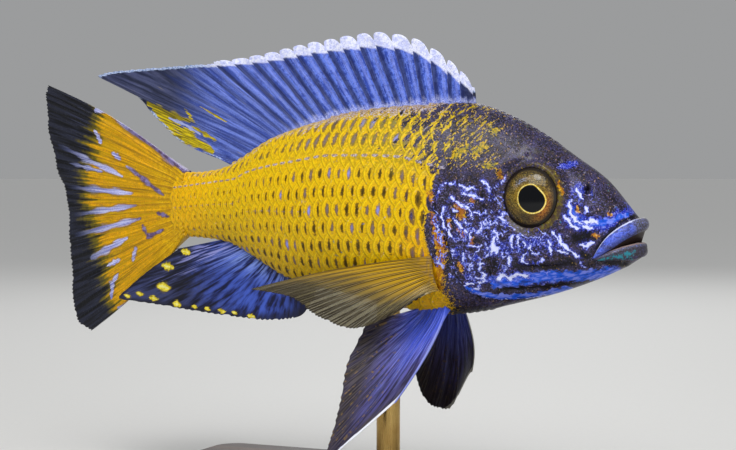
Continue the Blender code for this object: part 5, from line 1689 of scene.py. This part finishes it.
def tail_material(settings):
    def paint(graph, ease, mix, blend, times, total):
        outer = graph.layers(
            blend("Streak", 0.4, 0.6, (10, 12, 18), (34, 37, 52)),
            ((72, 78, 112), ease("Thread", 0.56, 0.7), ease("reach", 1.0, 0.7), 0.6))
        orange = graph.layers(
            blend("Streak", 0.4, 0.6, (184, 144, 0), mix(0.4, settings.orange, (200, 166, 0))),
            ((184, 144, 0), ease("fleck", 0.42, 0.6), 0.5),
            (blend("fleck", 0.4, 0.6, (228, 184, 4), (206, 158, 0)), ease("reach", 0.3, 0.1), 0.9),
            ((140, 92, 2), ease("Thread", 0.47, 0.36), 0.7))
        lilac = graph.layers(
            blend("fleck", 0.4, 0.6, (88, 70, 112), (128, 120, 176)),
            (blend("Thread", 0.4, 0.6, (126, 132, 206), (206, 210, 246)), ease("reach", 0.36, 0.5)),
            ((58, 66, 104), ease("reach", 0.6, 0.95)))
        limit = total("gold_left", times("uneven", 14.0), times("crest", 1.2), times("ragged", 4.0))
        stripe = total("lilac", times("ragged", 0.5), times("uneven", 1.4),
                       times(graph.uneven("Thread"), 0.8))
        colour = graph.layers(
            blend(limit, -2.2, 2.4, outer, blend(limit, 3.6, 0.8, orange, (112, 100, 8))),
            ((86, 62, 50), ease(stripe, 0.1, 0.6), ease(limit, 0.0, 3.0), 0.5),
            (lilac, ease(stripe, 0.45, 1.0), ease("reach", 1.0, 0.8), 0.95),
            ((30, 20, 16), ease("fine", 0.46, 0.34), 0.35))
        relief = total("Thread", times("fine", 0.5), times("Joint", "crest", 0.8))
        return {"Base Color": colour, "Bump": (relief, 0.00008)}

    return fin_material("tail fin membrane", (3.4, 2.2, 170.0), 1000, paint, finish=(0.06, 0.25, 0.2))


def make_tail_fin(settings):
    last = TAIL_RAYS - 1
    middle = (back_height(STALK_END) + belly_height(STALK_END)) / 2

    def root(ray):
        share = 1 - 2 * ray / last
        height = middle + share * (TAIL_ROOT_HALF_HEIGHT + TAIL_ROOT_OVER)
        return TAIL_ROOT_STATION + 0 * ray, 0 * ray, height

    def bow(ray):
        share = 1 - 2 * ray / last
        return np.stack([0 * share, 0 * share, np.copysign(share * share, share) * TAIL_EDGE_BOW], -1)

    material = tail_material(bpy.context.scene.cichlid_colours)
    spots = {"lilac": seen_strokes(TAIL_LILAC_SEEN)}
    piece = make_fin("tail_fan", "caudal_fin", "caudal_fin", material, settings, root,
                     tip_places(TAIL_MARGIN), TAIL_RAYS, soft_from=0, rows=72, fine=18, root_half=1.3,
                     bow=bow, spots=spots, seed=7)
    station, height = (np.empty(len(piece.data.vertices), np.float32) for _ in range(2))
    piece.data.attributes["station"].data.foreach_get("value", station)
    piece.data.attributes["height"].data.foreach_get("value", height)
    left = piece.data.attributes.new("gold_left", "FLOAT", "POINT")
    left.data.foreach_set("value", (Curve(TAIL_GOLD_LIMIT)(height) - station).astype(np.float32))
    return piece


def pectoral_material():
    def paint(graph, ease, mix, blend, times, total):
        near = ease(total("reach", times("ray", 0.035), times("Streak", 0.3)), 1.1, 0.5)
        colour = graph.layers(
            mix(near, (104, 96, 66), (196, 152, 0)),
            (mix(near, (146, 136, 100), (226, 184, 20)), ease("Thread", 0.52, 0.66), 0.4),
            ((96, 76, 22), ease("Thread", 0.44, 0.32), 0.35),
            (mix(near, (40, 32, 24), (54, 36, 2)), ease("crest", 0.1, 0.4), 0.92),
            (mix(near, (140, 130, 104), (200, 160, 34)), ease("crest", 0.78, 0.98), 0.75),
            ((224, 200, 140), ease("ray", 8.0, 10.5), ease("reach", 0.62, 0.3), ease("Thread", 0.5, 0.6),
             0.8),
            (blend("fleck", 0.4, 0.6, (190, 146, 10), (140, 112, 70)), ease("reach", 0.12, 0.03), 0.75))
        alpha = total(times(ease("crest", 0.15, 0.6), 0.3), times(near, 0.14),
                      times(ease("reach", 0.35, 0.0), 0.3), 0.7)
        return {"Base Color": colour, "Alpha": graph.math("MINIMUM", alpha, 1.0), "Bump": ("Thread", 0.00006)}

    return fin_material("pectoral fin membrane", (3.0, 1.6, 200.0), 1500, paint, (0.39, 0.1))


def make_pectoral_fin(hand, word, settings, material):
    last = PECTORAL_RAYS - 1
    tips = PECTORAL_MARGIN[hand]
    if hand == RIGHT:
        tip, = seen_at([PECTORAL_TIP_IN_PHOTO], RIGHT * PECTORAL_TIP_SIDE)
        low, = seen_at([PECTORAL_LOW_IN_PHOTO], RIGHT * PECTORAL_LOW_SIDE)
        tips = sorted(tips + [(0, *tip, PECTORAL_TIP_OUT), (8, *low, PECTORAL_LOW_OUT)])
    top, foot = np.array(PECTORAL_ROOT_TOP), np.array(PECTORAL_ROOT_FOOT)

    def root(ray):
        station, height = top[:, None] + (foot - top)[:, None] * (ray / last)
        return station, hand * (width_at(station, height) + 0.35), height

    def bow(ray):
        return headings(50)[1] * hand * 0.9 + np.array([0, 0, PECTORAL_ARCH]) * (1 - ray / last)[:, None]

    return make_fin("pectoral_fan_" + word, "pectoral_fin_" + word, "pectoral_fin", material, settings, root,
                    tip_places(tips, hand), PECTORAL_RAYS, soft_from=1, slim=0.7, ridged=0.7, width=0.2,
                    root_half=0.7, bow=bow, wave=0.12, seed=11 + hand)


def pelvic_material(far):
    def paint(graph, ease, mix, blend, times, total):
        outer = ease(total("reach", times("Streak", 0.5), times(ease("ray", 1.0, 5.0), 0.2)), 0.8, 1.2)
        past = times(ease("ray", -0.1, 0.02), ease("brim", 2.5, 1.5))
        # the far fin's leading edge is greyed as painted shade
        edge = (150, 150, 142) if far else mix(past, (136, 146, 226), (240, 243, 255))
        return {"Base Color": graph.layers(
            blend("Streak", 0.4, 0.6, (44, 36, 62), (98, 96, 178)),
            ((52, 84, 226), ease(total("reach", times("Streak", 0.4)), 0.7, 0.3), 0.9),
            ((140, 154, 250), ease("Thread", 0.5, 0.66), ease("reach", 0.95, 0.2), 0.85),
            ((26, 22, 50), ease("Thread", 0.46, 0.34), 0.8),
            (blend("Thread", 0.4, 0.6, (26, 22, 32), (76, 68, 62)), outer, 0.9),
            ((128, 104, 64), ease("fleck", 0.54, 0.62), ease("crest", 0.2, 0.6), ease("reach", 0.2, 0.5),
             0.8),
            # painted shade: the far fin is darkened all over, as if in shadow
            ((14, 14, 20), 0.72 if far else 0.0),
            (edge, ease(total("lead", times(past, -0.4)), 0.3, 0.16), ease("reach", 0.05, 0.3), 0.95))}

    return fin_material("pelvic fin membrane", (6.0, 2.6, 200.0), 1300, paint, (0.39, 0.1))


def make_pelvic_fin(hand, word, settings):
    last = PELVIC_RAYS - 1
    front, rear = np.array(PELVIC_ROOT_FRONT), np.array(PELVIC_ROOT_REAR)

    def root(ray):
        station, out = front[:, None] + (rear - front)[:, None] * (ray / last)
        return station, hand * out, underside_at(station, out) + 0.7

    def bow(ray):
        forward, leftward = headings(45)
        ahead, out, up = PELVIC_BOW
        bend = forward * ahead + leftward * hand * out + np.array([0, 0, up])
        return bend * (0.15 + 0.85 * (last - ray) / last)[:, None]

    # the left fin, on the far side, gets the copy with painted shade
    material = pelvic_material(hand == LEFT)
    return make_fin("pelvic_fan_" + word, "pelvic_fin_" + word, "pelvic_fin", material, settings, root,
                    tip_places(PELVIC_MARGIN[hand], hand), PELVIC_RAYS, soft_from=1, rows=80, fine=34,
                    ridged=1.1, width=0.26, root_half=0.8, bow=bow, wave=0.2, seed=21 + hand)


# Stand and studio

def walnut_material():
    def paint(graph, ease, mix, blend, times, total):
        x, y, z = graph.node("SeparateXYZ", {0: graph.places()}).outputs
        warp = graph.noise(graph.vector(times(x, 0.12), y, z), 60)
        pores = graph.noise(graph.vector(times(x, 0.05), y, z), 2600, 2.0, 0.7)
        rings = graph.math("SINE", total(times(y, 900.0), times(warp, 16.0)))
        colour = graph.layers(
            blend(rings, -1.0, 1.0, (56, 34, 22), (92, 60, 38)),
            ((40, 24, 16), ease(warp, 0.4, 0.65), 0.5),
            ((20, 12, 8), ease(pores, 0.42, 0.34), 0.8))
        relief = total(times(pores, 0.7), times(rings, 0.1))
        return {"Base Color": colour, "Roughness": total(0.34, times(pores, 0.2)), "Bump": (relief, 0.00005)}

    return new_material("satin walnut", paint, Coat_Weight=0.3, Coat_Roughness=0.2)


def brass_material():
    def paint(graph, ease, mix, blend, times, total):
        at = graph.places()
        x, y, z = graph.node("SeparateXYZ", {0: at}).outputs
        brushed = graph.noise(graph.vector(x, y, times(z, 0.03)), 4000, 2.0, 0.7)
        colour = blend(graph.noise(at, 160), 0.35, 0.7, (198, 168, 104), (178, 142, 80))
        return {"Base Color": colour, "Roughness": total(0.2, times(brushed, 0.16)),
                "Bump": (brushed, 0.00001)}

    return new_material("satin brass", paint, Metallic=1.0)


def dress_stand():
    for node, material in (("stand_base", walnut_material()), ("stand_rod", brass_material())):
        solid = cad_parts[node]
        solid = bpy.data.objects[solid] if isinstance(solid, str) else solid
        solid.data.materials.clear()
        solid.data.materials.append(material)


def add_light(light, energy, stands_at, back):
    """A light that shines away from the direction back."""
    light.energy = energy
    lamp = bpy.data.objects.new(light.name, light)
    bpy.context.scene.collection.objects.link(lamp)
    lamp.location = stands_at
    lamp.rotation_euler = back.to_track_quat("Z", "Y").to_euler()


def make_stage(settings):
    scene = bpy.context.scene
    scene.view_settings.view_transform = "Standard"
    camera_data = bpy.data.cameras.new("camera")
    camera_data.lens, camera_data.clip_start = settings.lens, 0.01
    camera = bpy.data.objects.new("camera", camera_data)
    scene.collection.objects.link(camera)
    azimuth, elevation = settings.azimuth, settings.elevation
    level = math.cos(elevation)
    back = Vector((math.sin(azimuth) * level, -math.cos(azimuth) * level, math.sin(elevation)))
    aim = Vector((0, 0, AXIS_HEIGHT * MM))
    camera.location = aim + back * settings.distance
    camera.rotation_euler = back.to_track_quat("Z", "Y").to_euler()
    scene.camera = camera

    def paint(graph, ease, mix, blend, times, total):
        dust = graph.noise(graph.places(), 900)
        colour = graph.layers(settings.floor, ([0.5, 0.5, 0.5], ease(dust, 0.4, 0.7), 0.06))
        return {"Base Color": colour, "Roughness": total(0.55, times(dust, 0.1)), "Bump": (dust, 0.00002)}

    rings = np.array(FLOOR_RINGS)[:, None]
    turn = np.linspace(0, 2 * math.pi, FLOOR_SIDES, endpoint=False)[None]
    points = np.stack([rings * np.cos(turn), rings * np.sin(turn), 0 * rings * turn - FLOOR_DROP], -1)
    faces = np.concatenate([grid_faces(len(rings), FLOOR_SIDES, wrap=True), cap_faces(0, FLOOR_SIDES)])
    mesh = make_mesh("floor", points.reshape(-1, 3), faces[:, ::-1])
    mesh.materials.append(new_material("pale floor", paint))
    floor = bpy.data.objects.new("floor", mesh)
    scene.collection.objects.link(floor)

    world = bpy.data.worlds.new("studio")
    scene.world = world
    world.use_nodes = True
    surround = world.node_tree.nodes["Background"].inputs
    surround[0].default_value = (*settings.surround[:], 1)
    surround[1].default_value = settings.surround_power
    for name, size, share, colour, stands_at in (
            ("key", (0.6, 0.4), 1.0, (1.0, 0.98, 0.95), (0.1, -0.5, 0.6)),
            ("fill", (0.5, 0.5), 0.2, (0.93, 0.96, 1.0), (0.6, -0.35, 0.15)),
            ("rim", (0.3, 0.5), 0.35, (1.0, 1.0, 1.0), (-0.15, 0.5, 0.45))):
        light = bpy.data.lights.new(name, "AREA")
        light.shape = "RECTANGLE"
        light.size, light.size_y = size
        light.color = colour
        add_light(light, settings.key_power * share, Vector(stands_at), Vector(stands_at) - aim)
    sun = bpy.data.lights.new("daylight", "SUN")
    sun.angle = math.radians(20)
    add_light(sun, settings.sun_power, Vector(), Vector((0.08, -0.57, 0.82)))


# Settings

LENGTH = {"subtype": "DISTANCE", "unit": "LENGTH", "precision": 5}


ANGLE = {"subtype": "ANGLE", "unit": "ROTATION"}


COLOUR = {"subtype": "COLOR", "size": 3, "min": 0, "max": 1}


class CichlidCoat(bpy.types.PropertyGroup):
    coat_depth: FloatProperty(name="Coat depth", description="How far the skin lies under the large scales",
                              default=0.00024, min=0.0, max=0.001, **LENGTH)
    scale_lift: FloatProperty(name="Scale lift",
                              description="How far the rear edge of a large scale stands out",
                              default=0.00012, min=0.0, max=0.001, **LENGTH)


class CichlidColours(bpy.types.PropertyGroup):
    gold: FloatVectorProperty(name="Gold", description="Golden yellow of the flanks",
                              default=BODY_TONES["Gold"], **COLOUR)
    scale_rim: FloatVectorProperty(name="Scale rim", description="Bright rims of the golden scales",
                                   default=BODY_TONES["Bright Gold"], **COLOUR)
    orange: FloatVectorProperty(name="Orange", description="Tail stalk and tail fin",
                                default=BODY_TONES["Orange"], **COLOUR)
    slate: FloatVectorProperty(name="Slate", description="Ground colour of the head",
                               default=BODY_TONES["Slate"], **COLOUR)
    lilac: FloatVectorProperty(name="Lilac", description="Fine strokes on cheek and gill cover",
                               default=BODY_TONES["Lilac"], **COLOUR)
    royal_blue: FloatVectorProperty(name="Royal blue", description="Haze round the strokes",
                                    default=BODY_TONES["Royal Blue"], **COLOUR)
    azure: FloatVectorProperty(name="Azure", description="Band along the jaw", default=BODY_TONES["Azure"],
                               **COLOUR)
    cobalt: FloatVectorProperty(name="Cobalt", description="Dorsal fin", default=tone(46, 72, 172), **COLOUR)


class CichlidFins(bpy.types.PropertyGroup):
    membrane: FloatProperty(name="Membrane", description="Half the thickness of a fin between its rays",
                            default=0.00009, min=0.00003, max=0.0005, **LENGTH)
    ray_height: FloatProperty(name="Ray height", description="How far the rays stand out of a fin",
                              default=0.00018, min=0.0, max=0.0006, **LENGTH)


class CichlidStage(bpy.types.PropertyGroup):
    lens: FloatProperty(name="Lens", description="Focal length of the camera in millimetres",
                        default=PHOTO_LENS, min=20, max=300)
    azimuth: FloatProperty(name="Azimuth", description="How far the camera stands towards the head",
                           default=PHOTO_AZIMUTH, **ANGLE)
    elevation: FloatProperty(name="Elevation", description="How far the camera looks down",
                             default=PHOTO_ELEVATION, **ANGLE)
    distance: FloatProperty(name="Distance", description="Camera to the middle of the fish",
                            default=PHOTO_DISTANCE * MM, min=0.1, subtype="DISTANCE", unit="LENGTH")
    floor: FloatVectorProperty(name="Floor", description="Colour of the floor", default=(0.62, 0.62, 0.61),
                               **COLOUR)
    surround: FloatVectorProperty(name="Surround", description="Colour of the light from all sides",
                                  default=(0.78, 0.79, 0.8), **COLOUR)
    surround_power: FloatProperty(name="Surround power", description="Strength of the light from all sides",
                                  default=0.42, min=0)
    key_power: FloatProperty(name="Key light", description="Power of the key light in watts", default=3.6,
                             min=0)
    sun_power: FloatProperty(name="Daylight", description="Strength of the even light from above",
                             default=0.9, min=0)


# Operators

class CICHLID_OT_skin(bpy.types.Operator):
    """Make the continuous skin with its lips, nostrils and gill covers"""
    bl_idname = "cichlid.skin"
    bl_label = "Skin"

    def execute(self, context):
        make_skin(context.scene.cichlid_coat)
        return {"FINISHED"}


class CICHLID_OT_scales(bpy.types.Operator):
    """Cover flanks, nape, breast and face with overlapping scales"""
    bl_idname = "cichlid.scales"
    bl_label = "Scales"

    def execute(self, context):
        make_scales(context.scene.cichlid_coat)
        return {"FINISHED"}


class CICHLID_OT_eyes(bpy.types.Operator):
    """Make both eyes"""
    bl_idname = "cichlid.eyes"
    bl_label = "Eyes"

    def execute(self, context):
        material = eye_material()
        for hand, word in HANDS:
            make_eye(hand, word, material)
        return {"FINISHED"}


class CICHLID_OT_dorsal_fin(bpy.types.Operator):
    """Make the dorsal fin with its lappets"""
    bl_idname = "cichlid.dorsal_fin"
    bl_label = "Dorsal fin"

    def execute(self, context):
        make_dorsal_fin(context.scene.cichlid_fins)
        return {"FINISHED"}


class CICHLID_OT_anal_fin(bpy.types.Operator):
    """Make the anal fin with its egg spots"""
    bl_idname = "cichlid.anal_fin"
    bl_label = "Anal fin"

    def execute(self, context):
        make_anal_fin(context.scene.cichlid_fins)
        return {"FINISHED"}


class CICHLID_OT_tail_fin(bpy.types.Operator):
    """Make the tail fin"""
    bl_idname = "cichlid.tail_fin"
    bl_label = "Tail fin"

    def execute(self, context):
        make_tail_fin(context.scene.cichlid_fins)
        return {"FINISHED"}


class CICHLID_OT_pectoral_fins(bpy.types.Operator):
    """Make both pectoral fins"""
    bl_idname = "cichlid.pectoral_fins"
    bl_label = "Pectoral fins"

    def execute(self, context):
        material = pectoral_material()
        for hand, word in HANDS:
            make_pectoral_fin(hand, word, context.scene.cichlid_fins, material)
        return {"FINISHED"}


class CICHLID_OT_pelvic_fins(bpy.types.Operator):
    """Make both pelvic fins"""
    bl_idname = "cichlid.pelvic_fins"
    bl_label = "Pelvic fins"

    def execute(self, context):
        for hand, word in HANDS:
            make_pelvic_fin(hand, word, context.scene.cichlid_fins)
        return {"FINISHED"}


class CICHLID_OT_stand(bpy.types.Operator):
    """Finish the display stand in walnut and brass"""
    bl_idname = "cichlid.stand"
    bl_label = "Stand"

    def execute(self, context):
        dress_stand()
        return {"FINISHED"}


class CICHLID_OT_stage(bpy.types.Operator):
    """Set up the camera, the floor and the soft studio light"""
    bl_idname = "cichlid.stage"
    bl_label = "Stage"

    def execute(self, context):
        make_stage(context.scene.cichlid_stage)
        return {"FINISHED"}


OPERATORS = (CICHLID_OT_skin, CICHLID_OT_scales, CICHLID_OT_eyes, CICHLID_OT_dorsal_fin, CICHLID_OT_anal_fin,
             CICHLID_OT_tail_fin, CICHLID_OT_pectoral_fins, CICHLID_OT_pelvic_fins, CICHLID_OT_stand,
             CICHLID_OT_stage)
SETTINGS = {"cichlid_coat": CichlidCoat, "cichlid_colours": CichlidColours, "cichlid_fins": CichlidFins,
            "cichlid_stage": CichlidStage}


class CICHLID_PT_panel(bpy.types.Panel):
    bl_label = "Peacock cichlid"
    bl_idname = "CICHLID_PT_panel"
    bl_space_type = "VIEW_3D"
    bl_region_type = "UI"
    bl_category = "Cichlid"

    def draw(self, context):
        for key, group in SETTINGS.items():
            box = self.layout.box()
            for name in group.__annotations__:
                box.prop(getattr(context.scene, key), name)
        for operator in OPERATORS:
            self.layout.operator(operator.bl_idname)


def register():
    for group in (*SETTINGS.values(), *OPERATORS, CICHLID_PT_panel):
        bpy.utils.register_class(group)
    for key, group in SETTINGS.items():
        setattr(bpy.types.Scene, key, PointerProperty(type=group))


def unregister():
    for key in SETTINGS:
        delattr(bpy.types.Scene, key)
    for group in reversed((*SETTINGS.values(), *OPERATORS, CICHLID_PT_panel)):
        bpy.utils.unregister_class(group)


def main():
    register()
    for operator in OPERATORS:
        _, name = operator.bl_idname.split(".")
        getattr(bpy.ops.cichlid, name)()


if __name__ == "__main__":
    main()
